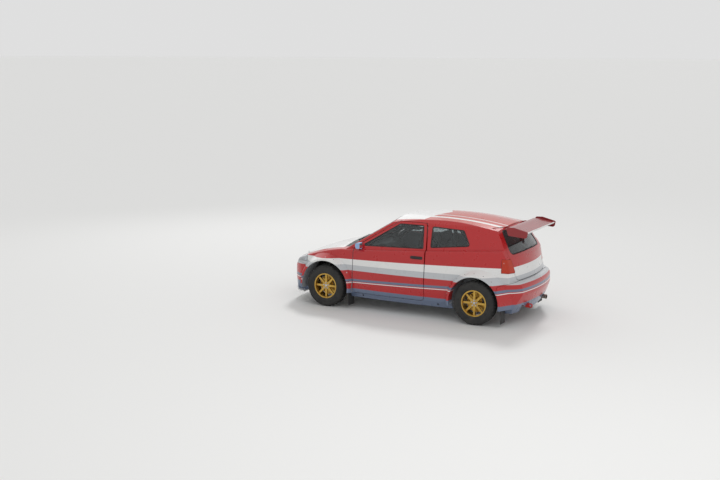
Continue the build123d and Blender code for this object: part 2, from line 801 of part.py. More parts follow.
def roll_cage():
    """The cage: a main hoop, two side hoops and the back stays."""
    r = 19
    hoop = [(-330, 700, 210), (-330, 690, 900), (-330, 545, 1306), (-330, 0, 1340), (-330, -545, 1306)]
    hoop += [(-330, -690, 900), (-330, -700, 210)]
    side = [(-330, 540, 1303), (110, 518, 1290), (690, 675, 900), (690, 700, 210)]
    stay = [(-330, 500, 1303), (-1150, 450, 340)]
    cage = tube(hoop, r) + both(tube(side, r) + tube(stay, r))
    cage = cage & block((-BIG, -BIG, FLOOR_Z + FLOOR_THICK), (BIG, BIG, BIG))
    return cage - block((-1940, -700, 100), (REAR_FLOOR_X + FLOOR_THICK, 700, REAR_FLOOR_Z + FLOOR_THICK))


def rear_wing():
    """The wing behind the roof's edge: a bent blade between two end plates, on two legs."""
    section = [(-1580, 1392, 6), (-1700, 1418, 200), (-1972, 1368, 2), (-1972, 1358, 2), (-1700, 1392, 200)]
    blade = prism_y(section, -594, 594)
    outline = [(-1690, 1312, 30), (-1655, 1430, 30), (-1780, 1436, 60), (-1990, 1384, 20), (-1976, 1290, 40)]
    plate = prism_y(outline, 594, 604)
    leg = prism_y([(-1540, 1388), (-1570, 1340), (-1720, 1390), (-1720, 1402), (-1600, 1400)], 330, 342)
    leg = leg - drum_end(TAIL_OUTLINE, TAIL_R, False) - blade
    return blade + both(plate) + both(leg)


def mirror_left():
    """A door mirror on a short stalk."""
    shape = [(585, 965, 14), (585, 1055, 14), (645, 1050, 30), (668, 1010, 30), (640, 965, 20)]
    plan = [(580, 795, 20), (640, 800, 20), (676, 830, 30), (668, 906, 40), (580, 906, 20)]
    head = prism_y(shape, 795, 906) & prism_z(plan, 900, 1100)
    stalk = prism_y([(600, 950), (600, 985), (650, 985), (660, 950)], 740, 812)
    return (head + stalk) - lower_body() - cab(0, 0, 0, 800)


def front_splitter():
    """The splitter: a flat lip under the front bumper that follows its plan."""
    plan = half_to_full([(1988, 0), (1988, 200, 300), (1925, 560, 330), (1760, 770, 160), (1640, 800)])
    return prism_z(plan, SPLITTER_LOW, SPLITTER_HIGH)


def mud_flaps(outer):
    """A flap behind each wheel, hanging from the flare and from the sill or the bumper."""
    flaps = Part()
    for x, inner, far in FLAPS:
        sheet = block((x, inner, FLAP_LOW), (x + FLAP_THICK, far, FLAP_HIGH)) - outer
        flaps += both(largest(sheet))
    return flaps


def controls():
    """The gear lever, the handbrake and the three pedals."""
    lever = tube([(330, 40, 220), (330, 40, 300), (300, 70, 560)], 9) + Pos(300, 70, 560) * Sphere(24)
    brake = tube([(180, -40, 220), (180, -40, 300), (215, -40, 540)], 12)
    pedals = Part()
    for y in (290, 370, 450):
        pedals += block((740, y - 6, 290), (752, y + 6, 560))
        pedals += block((725, y - 28, 290), (740, y + 28, 365))
    return lever + brake + pedals


def exhaust():
    """The tailpipe and its silencer under the rear floor."""
    box = prism_x([(-420, 235, 30), (-180, 235, 30), (-180, 318, 30), (-420, 318, 30)], -1780, -1480)
    pipe = tube([(-1500, -300, 262), (-1240, -300, 229), (-1010, -300, 229)], 24)
    tail = rod((-1780, -330, 268), (-1975, -330, 262), 32) - rod((-1790, -330, 268), (-1976, -330, 262), 29)
    return box + pipe + tail


def spare_wheel():
    """The spare wheel lying in the boot."""
    section = [(0, 60), (0, 300), (20, 318), (70, TYRE_R), (120, 318), (140, 300), (140, 60)]
    pts = [(r, 362 + h) for h, r in section]
    face = Pos(-1390, 0, 0) * (Plane.XZ * make_face(Polyline(*pts, close=True)))
    return revolve(face, Axis((-1390, 0, 0), (0, 0, 1)), 360)


def gear_nodes():
    """Wheels, suspension, engine bay and cabin fittings."""
    gear, towers = front_suspension()
    nose_eye, tail_eye = tow_eyes()
    out = {
        "front_suspension": gear,
        "front_rails": front_rails(),
        "strut_towers": towers,
        "rear_axle": rear_axle(),
        "engine_block": engine_block(),
        "radiator": radiator(),
        "sump_guard": sump_guard(),
        "dashboard": dashboard(),
        "steering_wheel": steering_wheel(),
        "roll_cage": roll_cage(),
        "rear_wing": rear_wing(),
        "exhaust": exhaust(),
        "grille": grille(),
        "front_splitter": front_splitter(),
        "controls": controls(),
        "spare_wheel": spare_wheel(),
        "tow_eye_front": nose_eye,
        "tow_eye_rear": tail_eye,
        "knuckle_left": knuckle_left(),
        "mirror_left": mirror_left(),
        "seat_left": seat(),
    }
    for name in ("knuckle", "mirror", "seat"):
        out[name + "_right"] = mirrored(out[name + "_left"])
    for end, x in (("front", FRONT_AXLE_X), ("rear", REAR_AXLE_X)):
        for part, made in (("tyre", tyre(x)), ("rim", rim(x))):
            out[part + "_" + end + "_left"] = made
            out[part + "_" + end + "_right"] = mirrored(made)
    return out


def tow_eye(x, y, z, root):
    """A tow eye: a flat hook that runs from its root to a ringed hole."""
    plate = prism_y(root, y - TOW_THICK / 2, y + TOW_THICK / 2)
    return plate - rod((x, y - 30, z), (x, y + 30, z), TOW_HOLE_R)


def tow_eyes():
    """A towing eye at the nose and one at the tail."""
    nose = [(1860, 400), (1860, 340), (1950, 318, 30), (1995, 318, 30), (1995, 382, 30), (1920, 400, 20)]
    tail = [(-1700, 330), (-1700, 316), (-1900, 226, 30), (-1992, 226, 30)]
    tail += [(-1992, 290, 30), (-1890, 292, 20), (-1800, 330)]
    return tow_eye(1963, -300, 350, nose), tow_eye(-1960, 330, 258, tail)


def openings():
    """Holes in the shell for struts, arms, the tailpipe, the rear tow eye and the jack's pin."""
    out = extrude(Plane((FRONT_AXLE_X, KINGPIN_Y, 600)) * Circle(92), amount=260)
    out += extrude(Plane((REAR_AXLE_X, KINGPIN_Y, 600)) * Circle(84), amount=210)
    out += block((FRONT_AXLE_X - 160, 440, 195), (FRONT_AXLE_X + 160, 560, 340))
    out += block((REAR_AXLE_X - 60, 440, 100), (REAR_AXLE_X + 260, 560, 380))
    out += rod((-1700, 330, 266), (-2050, 330, 258), 46)
    for x in JACK_X:
        out += rod((x, 782, JACK_Z), (x, 900, JACK_Z), JACK_R)
    return both(out)


def main():
    os.makedirs("parts", exist_ok=True)
    outer = outer_body()
    hollow = cabin_space() + engine_space() + lamp_holes()
    shell = outer - (hollow - corner_walls()) - openings()
    nodes = body_panels(outer, shell)
    nodes.update(glass_nodes())
    nodes.update(lamp_nodes(outer))
    nodes["mud_flaps"] = mud_flaps(outer)
    for name in ("fender", "door", "side_frame", "quarter_panel", "door_glass"):
        nodes[name + "_right"] = mirrored(nodes[name + "_left"])
    nodes.update(gear_nodes())
    for name, shape in nodes.items():
        export_step(shape, os.path.join("parts", name + ".step"))


if __name__ == "__main__":
    main()
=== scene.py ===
# %% [markdown]
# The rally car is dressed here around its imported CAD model. The CAD model gives every panel its
# place and shape, in metres, with +X forward, +Y to the car's left and +Z up. This script adds the
# finishes, the light and the small pieces that would be too fine for the solids.

# %% Load the frame
import json
import math

import bmesh
import bpy
from mathutils import Matrix, Vector
from mathutils.bvhtree import BVHTree


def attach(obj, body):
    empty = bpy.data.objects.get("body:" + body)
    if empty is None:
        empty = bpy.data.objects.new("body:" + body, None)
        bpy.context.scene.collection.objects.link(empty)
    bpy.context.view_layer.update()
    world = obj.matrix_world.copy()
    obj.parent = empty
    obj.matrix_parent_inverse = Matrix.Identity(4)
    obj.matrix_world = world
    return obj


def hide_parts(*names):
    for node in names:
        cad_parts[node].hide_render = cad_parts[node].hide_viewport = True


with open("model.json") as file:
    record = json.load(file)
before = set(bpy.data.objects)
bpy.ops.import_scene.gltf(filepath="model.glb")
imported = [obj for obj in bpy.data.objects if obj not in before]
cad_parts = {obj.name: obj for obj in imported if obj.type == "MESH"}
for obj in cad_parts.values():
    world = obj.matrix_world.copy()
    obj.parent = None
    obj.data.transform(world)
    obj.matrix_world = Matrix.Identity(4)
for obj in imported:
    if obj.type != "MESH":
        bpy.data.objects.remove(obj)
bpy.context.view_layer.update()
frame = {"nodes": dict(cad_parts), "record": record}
NODES = frame["nodes"]

# %% [markdown]
# The photograph was taken from behind the car's left rear quarter, a little above the roof, through
# a long lens. A camera is only a place, an aim and a focal length. The place and the aim were found
# by laying the CAD outline over the photograph, so both are plain numbers here.

# %% Place the camera
CAMERA_PLACE = Vector((-7.279, 15.125, 3.963))
CAMERA_AIM = Vector((0.858, 0.380, 1.000))
LENS_MM = 54.5
SENSOR_MM = 36.0


def face_towards(obj, target):
    """Turn an object's own -Z towards a point, with its own Y as near to up as it goes."""
    obj.rotation_euler = (target - obj.location).to_track_quat("-Z", "Y").to_euler()


def make_camera():
    data = bpy.data.cameras.new("photo_camera")
    data.lens = LENS_MM
    data.sensor_width = SENSOR_MM
    camera = bpy.data.objects.new("photo_camera", data)
    camera.location = CAMERA_PLACE
    face_towards(camera, CAMERA_AIM)
    bpy.context.collection.objects.link(camera)
    bpy.context.scene.camera = camera
    return camera


bpy.context.view_layer.update()
print("camera", [round(v, 2) for v in make_camera().location])

# %% [markdown]
# A product picture wants soft light from large sources, so that curved paint shows long gentle
# highlights. The world gives the fill light, and shows the camera and the mirrors the same pale grey
# as the far floor, so that no horizon is seen. Two big panels and one weak sun give the form.

# %% Light the studio
FLOOR_COLOUR = (0.80, 0.80, 0.79)
FLOOR_HALF = 400.0
FILL_STRENGTH = 0.60
BACKDROP = 0.74
PANEL_GLINT = 0.35
PANEL_AIM = Vector((0.0, 0.0, 0.5))
PANELS = (
    # name, place, size, power
    ("panel_over_tail", (-5.0, 6.0, 6.5), 7.0, 130.0),
    ("panel_over_nose", (6.0, -5.0, 6.0), 7.0, 90.0),
)
SUN_STRENGTH = 1.1
SUN_ANGLE = math.radians(12)
SUN_TURN = (math.radians(38), math.radians(-18), math.radians(35))


def new_node(tree, kind, inputs=(), **settings):
    """One more node in a tree, its inputs set from numbers or joined to other nodes' outputs."""
    node = tree.nodes.new(kind)
    for key, value in settings.items():
        setattr(node, key, value)
    for key, value in dict(inputs).items():
        if isinstance(value, bpy.types.NodeSocket):
            tree.links.new(value, node.inputs[key])
        else:
            node.inputs[key].default_value = value
    return node


def make_world():
    world = bpy.data.worlds.new("studio_world")
    world.use_nodes = True
    tree = world.node_tree
    rays = new_node(tree, "ShaderNodeLightPath").outputs
    either = {0: rays["Is Glossy Ray"], 1: rays["Is Transmission Ray"]}
    mirrored = new_node(tree, "ShaderNodeMath", either, operation="MAXIMUM").outputs[0]
    either = {0: rays["Is Camera Ray"], 1: mirrored}
    seen = new_node(tree, "ShaderNodeMath", either, operation="MAXIMUM").outputs[0]
    spread = {"Value": seen, "To Min": FILL_STRENGTH, "To Max": BACKDROP}
    strength = new_node(tree, "ShaderNodeMapRange", spread).outputs[0]
    background = tree.nodes["Background"]
    background.inputs["Color"].default_value = (1.0, 1.0, 1.0, 1.0)
    tree.links.new(strength, background.inputs["Strength"])
    bpy.context.scene.world = world


def make_lights():
    for name, place, size, power in PANELS:
        data = bpy.data.lights.new(name, "AREA")
        data.size = size
        data.energy = power
        data.specular_factor = PANEL_GLINT
        light = bpy.data.objects.new(name, data)
        light.location = place
        face_towards(light, PANEL_AIM)
        bpy.context.collection.objects.link(light)
    data = bpy.data.lights.new("weak_sun", "SUN")
    data.energy = SUN_STRENGTH
    data.angle = SUN_ANGLE
    sun = bpy.data.objects.new("weak_sun", data)
    sun.rotation_euler = SUN_TURN
    bpy.context.collection.objects.link(sun)


bpy.context.scene.view_settings.view_transform = "Standard"
make_world()
make_lights()
print("lights", len(PANELS) + 1)

# %% [markdown]
# Every finish is a node material. A number that is the same all over is set on the shader itself,
# and only what varies, such as grain, wear or a stripe, comes through nodes. Patterns read Object
# coordinates, which are metres here, because every finished object sits at the origin.

# %% Helpers for finishes
WEAR_SPAN = (0.3, 0.7)
MOTTLE_SPAN = (0.35, 0.65)


def new_finish(name, colour, roughness, metallic=0.0, **sockets):
    """A material with its unchanging numbers on the shader's own sockets."""
    material = bpy.data.materials.new(name)
    material.use_nodes = True
    shader = material.node_tree.nodes["Principled BSDF"]
    shader.inputs["Base Color"].default_value = (*colour, 1.0)
    shader.inputs["Roughness"].default_value = roughness
    shader.inputs["Metallic"].default_value = metallic
    for socket, value in sockets.items():
        shader.inputs[socket.replace("_", " ")].default_value = value
    return material


def add_node(material, kind, inputs=(), **settings):
    """One more node in a material."""
    return new_node(material.node_tree, kind, inputs, **settings)


def math_node(material, operation, *values):
    """The result of one sum on numbers or outputs."""
    return add_node(material, "ShaderNodeMath", dict(enumerate(values)), operation=operation).outputs[0]


def vector_node(material, operation, *values):
    """The result of one sum on vectors, a plain number where it is a dot product."""
    node = add_node(material, "ShaderNodeVectorMath", dict(enumerate(values)), operation=operation)
    return node.outputs["Value" if operation == "DOT_PRODUCT" else "Vector"]


def ramp(material, value, low, high, to_low=0.0, to_high=1.0):
    """A value stretched from one range to another, and held at the ends."""
    spread = {"Value": value, "From Min": low, "From Max": high, "To Min": to_low, "To Max": to_high}
    return add_node(material, "ShaderNodeMapRange", spread).outputs[0]


def join(material, output, socket):
    """Join an output to one of the shader's own sockets."""
    shader = material.node_tree.nodes["Principled BSDF"]
    material.node_tree.links.new(output, shader.inputs[socket])


def object_place(material):
    """The place on the object, in metres."""
    return add_node(material, "ShaderNodeTexCoord").outputs["Object"]


def noise(material, scale, detail=3.0, stretch=(1, 1, 1)):
    """A smooth random value from 0 to 1, its scale in waves per metre."""
    stretched = {"Vector": object_place(material), "Scale": stretch}
    mapping = add_node(material, "ShaderNodeMapping", stretched)
    inputs = {"Vector": mapping.outputs[0], "Scale": scale, "Detail": detail}
    return add_node(material, "ShaderNodeTexNoise", inputs).outputs[0]


def add_bump(material, height, strength, distance):
    """Make small relief from a height value, its depth in metres."""
    inputs = {"Height": height, "Strength": strength, "Distance": distance}
    join(material, add_node(material, "ShaderNodeBump", inputs).outputs[0], "Normal")


def add_wear(material, scale, low, high):
    """Let the roughness wander between two values."""
    join(material, ramp(material, noise(material, scale), *WEAR_SPAN, low, high), "Roughness")


def mixed(material, factor, first, second):
    """A colour between two colours or colour outputs."""
    node = add_node(material, "ShaderNodeMix", data_type="RGBA")
    for index, value in ((0, factor), (6, first), (7, second)):
        if isinstance(value, bpy.types.NodeSocket):
            material.node_tree.links.new(value, node.inputs[index])
        elif index == 0:
            node.inputs[index].default_value = value
        else:
            node.inputs[index].default_value = (*value, 1.0)
    return node.outputs[2]


def add_mottle(material, scale, first, second):
    """Let the colour wander between two near shades."""
    factor = ramp(material, noise(material, scale), *MOTTLE_SPAN)
    join(material, mixed(material, factor, first, second), "Base Color")


print("noise for wear runs from", WEAR_SPAN[0], "to", WEAR_SPAN[1])

# %% [markdown]
# The floor is paper: pale, matt and so wide that its edge is never seen. It belongs to the studio and
# not to the car.

# %% Floor
floor_finish = new_finish("floor_paper", FLOOR_COLOUR, 0.9)
bpy.ops.mesh.primitive_plane_add(size=2 * FLOOR_HALF)
floor = bpy.context.object
floor.name = "studio_floor"
floor.data.materials.append(floor_finish)
print("floor", 2 * FLOOR_HALF, "m wide")

# %% [markdown]
# Car paint is a colour under a clear coat, with a fine orange peel that shows only in highlights. A
# rally car is sprayed on its outer faces alone, and the inner ones stay grey. A panel here is one
# mesh, so a mask compares each face's direction with its place to tell outer from inner.

# %% Paint coats
RED = (0.47, 0.006, 0.008)
# The wing's deep red is the body's red darkened by painted shade.
WING_RED_WITH_PAINTED_SHADE = (0.27, 0.005, 0.008)
WHITE = (0.80, 0.80, 0.79)
# The sky blue of the mirror shells is a painted reflection of the sky.
SILVER = (0.52, 0.54, 0.56)
SKY_REFLECTION_BLUE = (0.30, 0.46, 0.72)
SLATE_BLUE = (0.13, 0.17, 0.26)
INNER_GREY = (0.33, 0.34, 0.36)
PEEL_SCALE = 60.0
PEEL_STRENGTH = 0.02
PEEL_DEPTH = 0.0001
TO_CABIN_MIDDLE = (0.0, 0.0, -0.75)
CABIN_SHAPE = (0.27, 1.38, 1.33)
INNER_SPAN = (-0.10, -0.16)


def new_paint(name, colour):
    """Gloss paint under a clear coat."""
    return new_finish(name, colour, 0.3, Coat_Weight=0.45, Coat_Roughness=0.05)


def paint_coat(material):
    """The fine orange peel of sprayed paint, and its slightly wandering gloss."""
    add_bump(material, noise(material, PEEL_SCALE, 1.0), PEEL_STRENGTH, PEEL_DEPTH)
    add_wear(material, 9.0, 0.26, 0.33)


def inner_mask(material):
    """1 on faces that look into the car, by comparing each face's direction with its place."""
    coords = add_node(material, "ShaderNodeTexCoord")
    from_middle = vector_node(material, "ADD", coords.outputs["Object"], TO_CABIN_MIDDLE)
    scaled = vector_node(material, "MULTIPLY", from_middle, CABIN_SHAPE)
    facing = vector_node(material, "DOT_PRODUCT", scaled, coords.outputs["Normal"])
    return ramp(material, facing, *INNER_SPAN)


def finish_outside(material, colour):
    """Paint the outer faces in a colour output, the inner ones grey, and coat both."""
    join(material, mixed(material, inner_mask(material), colour, INNER_GREY), "Base Color")
    paint_coat(material)
    return material


print("peel", PEEL_SCALE, "waves per metre")

# %% [markdown]
# The body wears a rally livery of broad slanted bands: red sides, a white and silver band along the
# flanks, blue-grey lower streaks, a white bonnet, and a roof that is white in front and red behind.
# The roof's red is its own red, made lighter and more orange with painted reflected light, and the
# white streaks over its rear are painted highlights. A painter masks such bands with tape, so each
# band here is a slanted strip in the side view with a crisp edge. One tree of nodes paints every red
# panel, and the bands run on from panel to panel without a step.

# %% Livery
EDGE_SOFTNESS = 0.002
# The roof's red is its own red, made lighter and more orange by painted reflected light.
ROOF_RED_WITH_PAINTED_LIGHT = (0.50, 0.030, 0.012)
ROOF_SPLIT = (-0.55, 0.45)
# The white streaks over the rear of the roof are painted highlights.
ROOF_PAINTED_HIGHLIGHTS = ((0.400, 0.345), (0.250, 0.228))
BANDS = (
    # colour, then upper and lower edge as height at x = 0 and rise per metre forward
    (WHITE, 0.800, -0.030, 0.680, -0.012),
    (SILVER, 0.700, -0.012, 0.612, -0.005),
    (SLATE_BLUE, 0.500, -0.030, 0.462, -0.030),
    (WHITE, 0.452, -0.030, 0.440, -0.030),
    (SLATE_BLUE, 0.330, 0.000, 0.120, 0.000),
)


def edge_mask(material, height, forward, level, rise):
    """1 below a slanted line in the side view, and 0 above it."""
    line = math_node(material, "MULTIPLY_ADD", forward, rise, level)
    over = math_node(material, "SUBTRACT", line, height)
    return ramp(material, over, -EDGE_SOFTNESS, EDGE_SOFTNESS)


def band_mask(material, height, forward, top, top_rise, foot, foot_rise):
    """1 between two slanted lines."""
    under = edge_mask(material, height, forward, top, top_rise)
    lower = edge_mask(material, height, forward, foot, foot_rise)
    return math_node(material, "SUBTRACT", under, lower)


def place_axes(material):
    """The place on the object as three separate numbers."""
    return add_node(material, "ShaderNodeSeparateXYZ", {"Vector": object_place(material)}).outputs


def make_livery():
    material = new_paint("livery_paint", RED)
    place = place_axes(material)
    colour = RED
    for shade, *edges in BANDS:
        colour = mixed(material, band_mask(material, place["Z"], place["X"], *edges), colour, shade)
    return finish_outside(material, colour)


def make_roof():
    """White over the front of the roof, red with painted reflected light behind a slanted edge, and painted
    highlights as white streaks.
    """
    material = new_paint("roof_livery_with_painted_highlights", WHITE)
    place = place_axes(material)
    across = math_node(material, "ABSOLUTE", place["Y"])
    behind = edge_mask(material, place["X"], across, *ROOF_SPLIT)
    colour = mixed(material, behind, WHITE, ROOF_RED_WITH_PAINTED_LIGHT)
    for outer, inner in ROOF_PAINTED_HIGHLIGHTS:
        painted_highlight = band_mask(material, across, place["X"], outer, 0.0, inner, 0.0)
        colour = mixed(material, painted_highlight, colour, WHITE)
    return finish_outside(material, colour)


def make_paint(name, colour, deeper):
    """One plain colour of paint, wandering a little to a deeper shade."""
    material = new_paint(name, colour)
    add_mottle(material, 3.0, colour, deeper)
    paint_coat(material)
    return material


PAINTS = (
    # slot, name, colour, deeper shade
    ("white_paint", "white_paint", WHITE, (0.76, 0.76, 0.75)),
    # The wing's red is the body's red darkened by painted shade.
    ("wing_red", "wing_paint_with_painted_shade", WING_RED_WITH_PAINTED_SHADE, (0.24, 0.004, 0.007)),
    # The mirror shells' sky blue is a painted reflection of the sky.
    ("mirror_shell", "mirror_paint_as_sky_reflection", SKY_REFLECTION_BLUE, (0.27, 0.43, 0.69)),
    ("splitter_white", "splitter_white", WHITE, (0.74, 0.74, 0.73)),
)
FINISHES = {slot: make_paint(*columns) for slot, *columns in PAINTS}
FINISHES["red_paint"] = make_livery()
OWN_FINISH = {"roof_skin": make_roof()}
print("livery bands", len(BANDS), "paints", len(PAINTS))

# %% [markdown]
# Under the paint a rally car is plain and hard-used: grey primer inside, satin black suspension,
# gold cast wheels, cast and brushed alloy, woven seat cloth. Each of these finishes differs from the
# next mostly by its grain and by how its gloss breaks up, which is what the noise is for.

# %% Metal, rubber, glass and cloth finishes
PRIMER = (0.42, 0.43, 0.45)
PRIMER_SHADE = (0.36, 0.37, 0.39)
BULKHEAD_GREY = (0.40, 0.41, 0.43)
SCUTTLE_BLACK = (0.02, 0.02, 0.02)
SCUTTLE_Z = (0.930, 0.932)
EVEN = (1, 1, 1)
PLAIN_FINISHES = (
    # use, name, colour, mottled shade, roughness, metallic, grain, depth, stretch where it is uneven
    ("body_steel", "grey_primer", PRIMER, PRIMER_SHADE, 0.5, 0.0, 200.0, 0.0003),
    ("suspension_steel", "satin_black_steel",
     (0.035, 0.035, 0.038), (0.06, 0.055, 0.05), 0.45, 0.3, 200.0, 0.0003),
    ("engine_alloy", "cast_alloy", (0.42, 0.42, 0.42), (0.33, 0.32, 0.30), 0.55, 0.9, 320.0, 0.0008),
    ("radiator_alloy", "radiator_fins",
     (0.28, 0.28, 0.29), (0.2, 0.2, 0.2), 0.5, 0.9, 500.0, 0.001, (1, 0.05, 1)),
    ("guard_alloy", "scuffed_guard_alloy",
     (0.5, 0.5, 0.51), (0.38, 0.37, 0.35), 0.42, 1.0, 240.0, 0.0005, (0.05, 1, 1)),
    ("exhaust_steel", "heat_stained_steel",
     (0.42, 0.38, 0.33), (0.30, 0.24, 0.19), 0.35, 1.0, 260.0, 0.0003),
    ("tow_steel", "tow_eye_red", (0.58, 0.02, 0.015), (0.42, 0.015, 0.01), 0.42, 0.0, 200.0, 0.0003),
    ("seat_cloth", "seat_cloth", (0.035, 0.035, 0.042), (0.02, 0.02, 0.024), 0.9, 0.0, 900.0, 0.0008),
    ("wheel_rubber", "grip_suede", (0.03, 0.03, 0.03), (0.05, 0.05, 0.05), 0.85, 0.0, 1200.0, 0.0004),
    ("gold_rim", "gold_cast_rim", (0.60, 0.38, 0.075), (0.50, 0.30, 0.055), 0.36, 0.85, 420.0, 0.0003),
    ("tyre_rubber", "tyre_rubber", (0.022, 0.022, 0.022), (0.035, 0.034, 0.032), 0.82, 0.0, 600.0, 0.0005),
    ("black_plastic", "black_trim", (0.018, 0.018, 0.018), (0.028, 0.028, 0.028), 0.6, 0.0, 700.0, 0.0004),
    ("reflector", "lamp_reflector", (0.82, 0.82, 0.83), (0.76, 0.76, 0.78), 0.12, 1.0, 500.0, 0.0001),
    ("bright_steel", "bright_steel", (0.62, 0.62, 0.63), (0.5, 0.5, 0.5), 0.28, 1.0, 400.0, 0.0002),
    ("strap_web", "strap_web",
     (0.10, 0.11, 0.13), (0.07, 0.075, 0.09), 0.85, 0.0, 1400.0, 0.0006, (0.2, 1, 1)),
    ("seal_rubber", "seal_rubber", (0.012, 0.012, 0.012), (0.02, 0.02, 0.02), 0.55, 0.0, 500.0, 0.0002),
    ("dial_face", "dial_face", (0.02, 0.02, 0.022), (0.05, 0.05, 0.05), 0.3, 0.0, 900.0, 0.0001),
    ("plate_white", "plate_white", WHITE, (0.75, 0.75, 0.74), 0.35, 0.0, 300.0, 0.0001),
    ("mirror_glass", "mirror_glass", (0.75, 0.77, 0.8), (0.72, 0.75, 0.78), 0.08, 1.0, 60.0, 0.00005),
    ("amber_bulb", "amber_bulb", (0.75, 0.22, 0.02), (0.7, 0.18, 0.02), 0.2, 0.0, 200.0, 0.0001),
)
SHEEN_AND_COAT = {
    "seat_cloth": {"Sheen_Weight": 0.4},
    "wheel_rubber": {"Sheen_Weight": 0.3},
    "strap_web": {"Sheen_Weight": 0.3},
    "gold_rim": {"Coat_Weight": 0.3},
}
GLASSES = (
    # slot, name, tint, roughness, transmission
    ("clear_glass", "tinted_glass", (0.50, 0.55, 0.56), 0.01, 0.97),
    ("lamp_clear", "lamp_clear", (0.80, 0.83, 0.86), 0.03, 0.55),
    ("lamp_red", "lamp_red", (0.62, 0.045, 0.012), 0.06, 0.25),
)


def make_plain(use, name, colour, shade, roughness, metallic, grain, depth, stretch=EVEN):
    """A finish with mottled colour, wandering gloss and a fine grain."""
    material = new_finish(name, colour, roughness, metallic, **SHEEN_AND_COAT.get(use, {}))
    add_mottle(material, 14.0, colour, shade)
    add_bump(material, noise(material, grain, 4.0, stretch), 0.25, depth)
    add_wear(material, 22.0, roughness - 0.07, roughness + 0.07)
    return material


def make_glass(name, tint, roughness, transmission):
    material = new_finish(name, tint, roughness, Transmission_Weight=transmission, IOR=1.45)
    add_wear(material, 6.0, roughness, roughness + 0.03)
    return material


def make_bulkhead():
    """Primer on the bulkhead's faces below the glass, and a black scuttle above them."""
    material = make_plain("bulkhead", "bulkhead", *PLAIN_FINISHES[0][2:])
    above = ramp(material, place_axes(material)["Z"], *SCUTTLE_Z)
    join(material, mixed(material, above, BULKHEAD_GREY, SCUTTLE_BLACK), "Base Color")
    return material


for row in PLAIN_FINISHES:
    FINISHES[row[0]] = make_plain(*row)
for slot, *columns in GLASSES:
    FINISHES[slot] = make_glass(*columns)
OWN_FINISH["firewall"] = make_bulkhead()
SUBPART_SLOTS = {s["node"]: s["material_slot"] for s in frame["record"]["subparts"]}


def dress_nodes():
    """Give every CAD node the finish of its slot, or its own."""
    for name, obj in NODES.items():
        finish = OWN_FINISH.get(name, FINISHES[SUBPART_SLOTS[name]])
        obj.data.materials.clear()
        obj.data.materials.append(finish)
    return len(NODES)


print("dressed nodes", dress_nodes())

# %% [markdown]
# The pieces below are built from a few shared ways of making form. A lathe turns a section about an
# axis, as for tyres and dials. A sweep pulls a section along a path, as for seals and straps. Both
# only lay rings of points and join them into a skin. Each finished piece sits at the origin in metres
# and rides on one CAD body.

# %% Helpers for pieces
SMOOTH_ANGLE = math.radians(34)


def make_piece(name, bm, finish, body, replaced=()):
    """A finished object from a bmesh, riding on a body."""
    bmesh.ops.remove_doubles(bm, verts=bm.verts, dist=1e-6)
    bmesh.ops.recalc_face_normals(bm, faces=bm.faces)
    mesh = bpy.data.meshes.new(name)
    bm.to_mesh(mesh)
    bm.free()
    return place_mesh(name, mesh, finish, body, replaced)


def place_mesh(name, mesh, finish, body, replaced=()):
    """The same from a mesh."""
    mesh.shade_smooth()
    mesh.set_sharp_from_angle(angle=SMOOTH_ANGLE)
    mesh.materials.clear()
    mesh.materials.append(FINISHES[finish])
    obj = bpy.data.objects.new(name, mesh)
    bpy.context.collection.objects.link(obj)
    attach(obj, body)
    if replaced:
        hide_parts(*replaced)
    return obj


def add_rings(bm, rings, loop_rings=False):
    """Join rings of points, each with the same count, into a skin."""
    made = [[bm.verts.new(p) for p in ring] for ring in rings]
    pairs = list(zip(made, made[1:]))
    if loop_rings:
        pairs.append((made[-1], made[0]))
    for low, high in pairs:
        for i in range(len(low)):
            j = (i + 1) % len(low)
            bm.faces.new((low[i], low[j], high[j], high[i]))
    if not loop_rings:
        bm.faces.new(list(reversed(made[0])))
        bm.faces.new(made[-1])


def axis_frame(origin, direction):
    """A frame at a place with its own Z along a direction."""
    turn = Vector(direction).to_track_quat("Z", "X").to_matrix().to_4x4()
    return Matrix.Translation(origin) @ turn


def lathe(bm, section, frame_matrix, steps=96):
    """Turn a closed section, columns radius and height, about the frame's Z."""
    rings = []
    for i in range(steps):
        a = math.tau * i / steps
        ring = [frame_matrix @ Vector((r * math.cos(a), r * math.sin(a), h)) for r, h in section]
        rings.append(ring)
    add_rings(bm, rings, loop_rings=True)


def sweep(bm, path, normals, section, closed=True):
    """Pull a section, columns across and up, along a path with a normal at each point."""
    count = len(path)
    rings = []
    for i in range(count):
        before = path[i - 1] if closed or i > 0 else path[i]
        after = path[(i + 1) % count] if closed or i < count - 1 else path[i]
        along = (after - before).normalized()
        up = (normals[i] - along * normals[i].dot(along)).normalized()
        across = up.cross(along)
        rings.append([path[i] + across * u + up * v for u, v in section])
    add_rings(bm, rings, loop_rings=closed)


print("smooth below", round(math.degrees(SMOOTH_ANGLE)), "degrees")

# %% [markdown]
# Plates, handles and knobs are flat or round things with soft edges. A slab gives an outline some
# thickness and draws its rims in a little, and a button does the same to a circle. Real pressed or
# moulded parts have no knife edges, and a soft edge catches a thin line of light.

# %% Helpers for plates and knobs
SOFT_SHARE = 0.3
CORNER_STEPS = 5
CORNER_REACH = 0.48


def rounded(points):
    """A closed outline with its corners rounded: columns are two coordinates and a radius."""
    out = []
    count = len(points)
    for i, p in enumerate(points):
        here = Vector((p[0], p[1]))
        if len(p) < 3 or p[2] <= 0:
            out.append(here)
            continue
        to_before = Vector(points[i - 1][:2]) - here
        to_after = Vector(points[(i + 1) % count][:2]) - here
        reach = min(p[2], CORNER_REACH * to_before.length, CORNER_REACH * to_after.length)
        start = here + to_before.normalized() * reach
        end = here + to_after.normalized() * reach
        for k in range(CORNER_STEPS + 1):
            t = k / CORNER_STEPS
            out.append(start * (1 - t) ** 2 + here * 2 * t * (1 - t) + end * t**2)
    return out


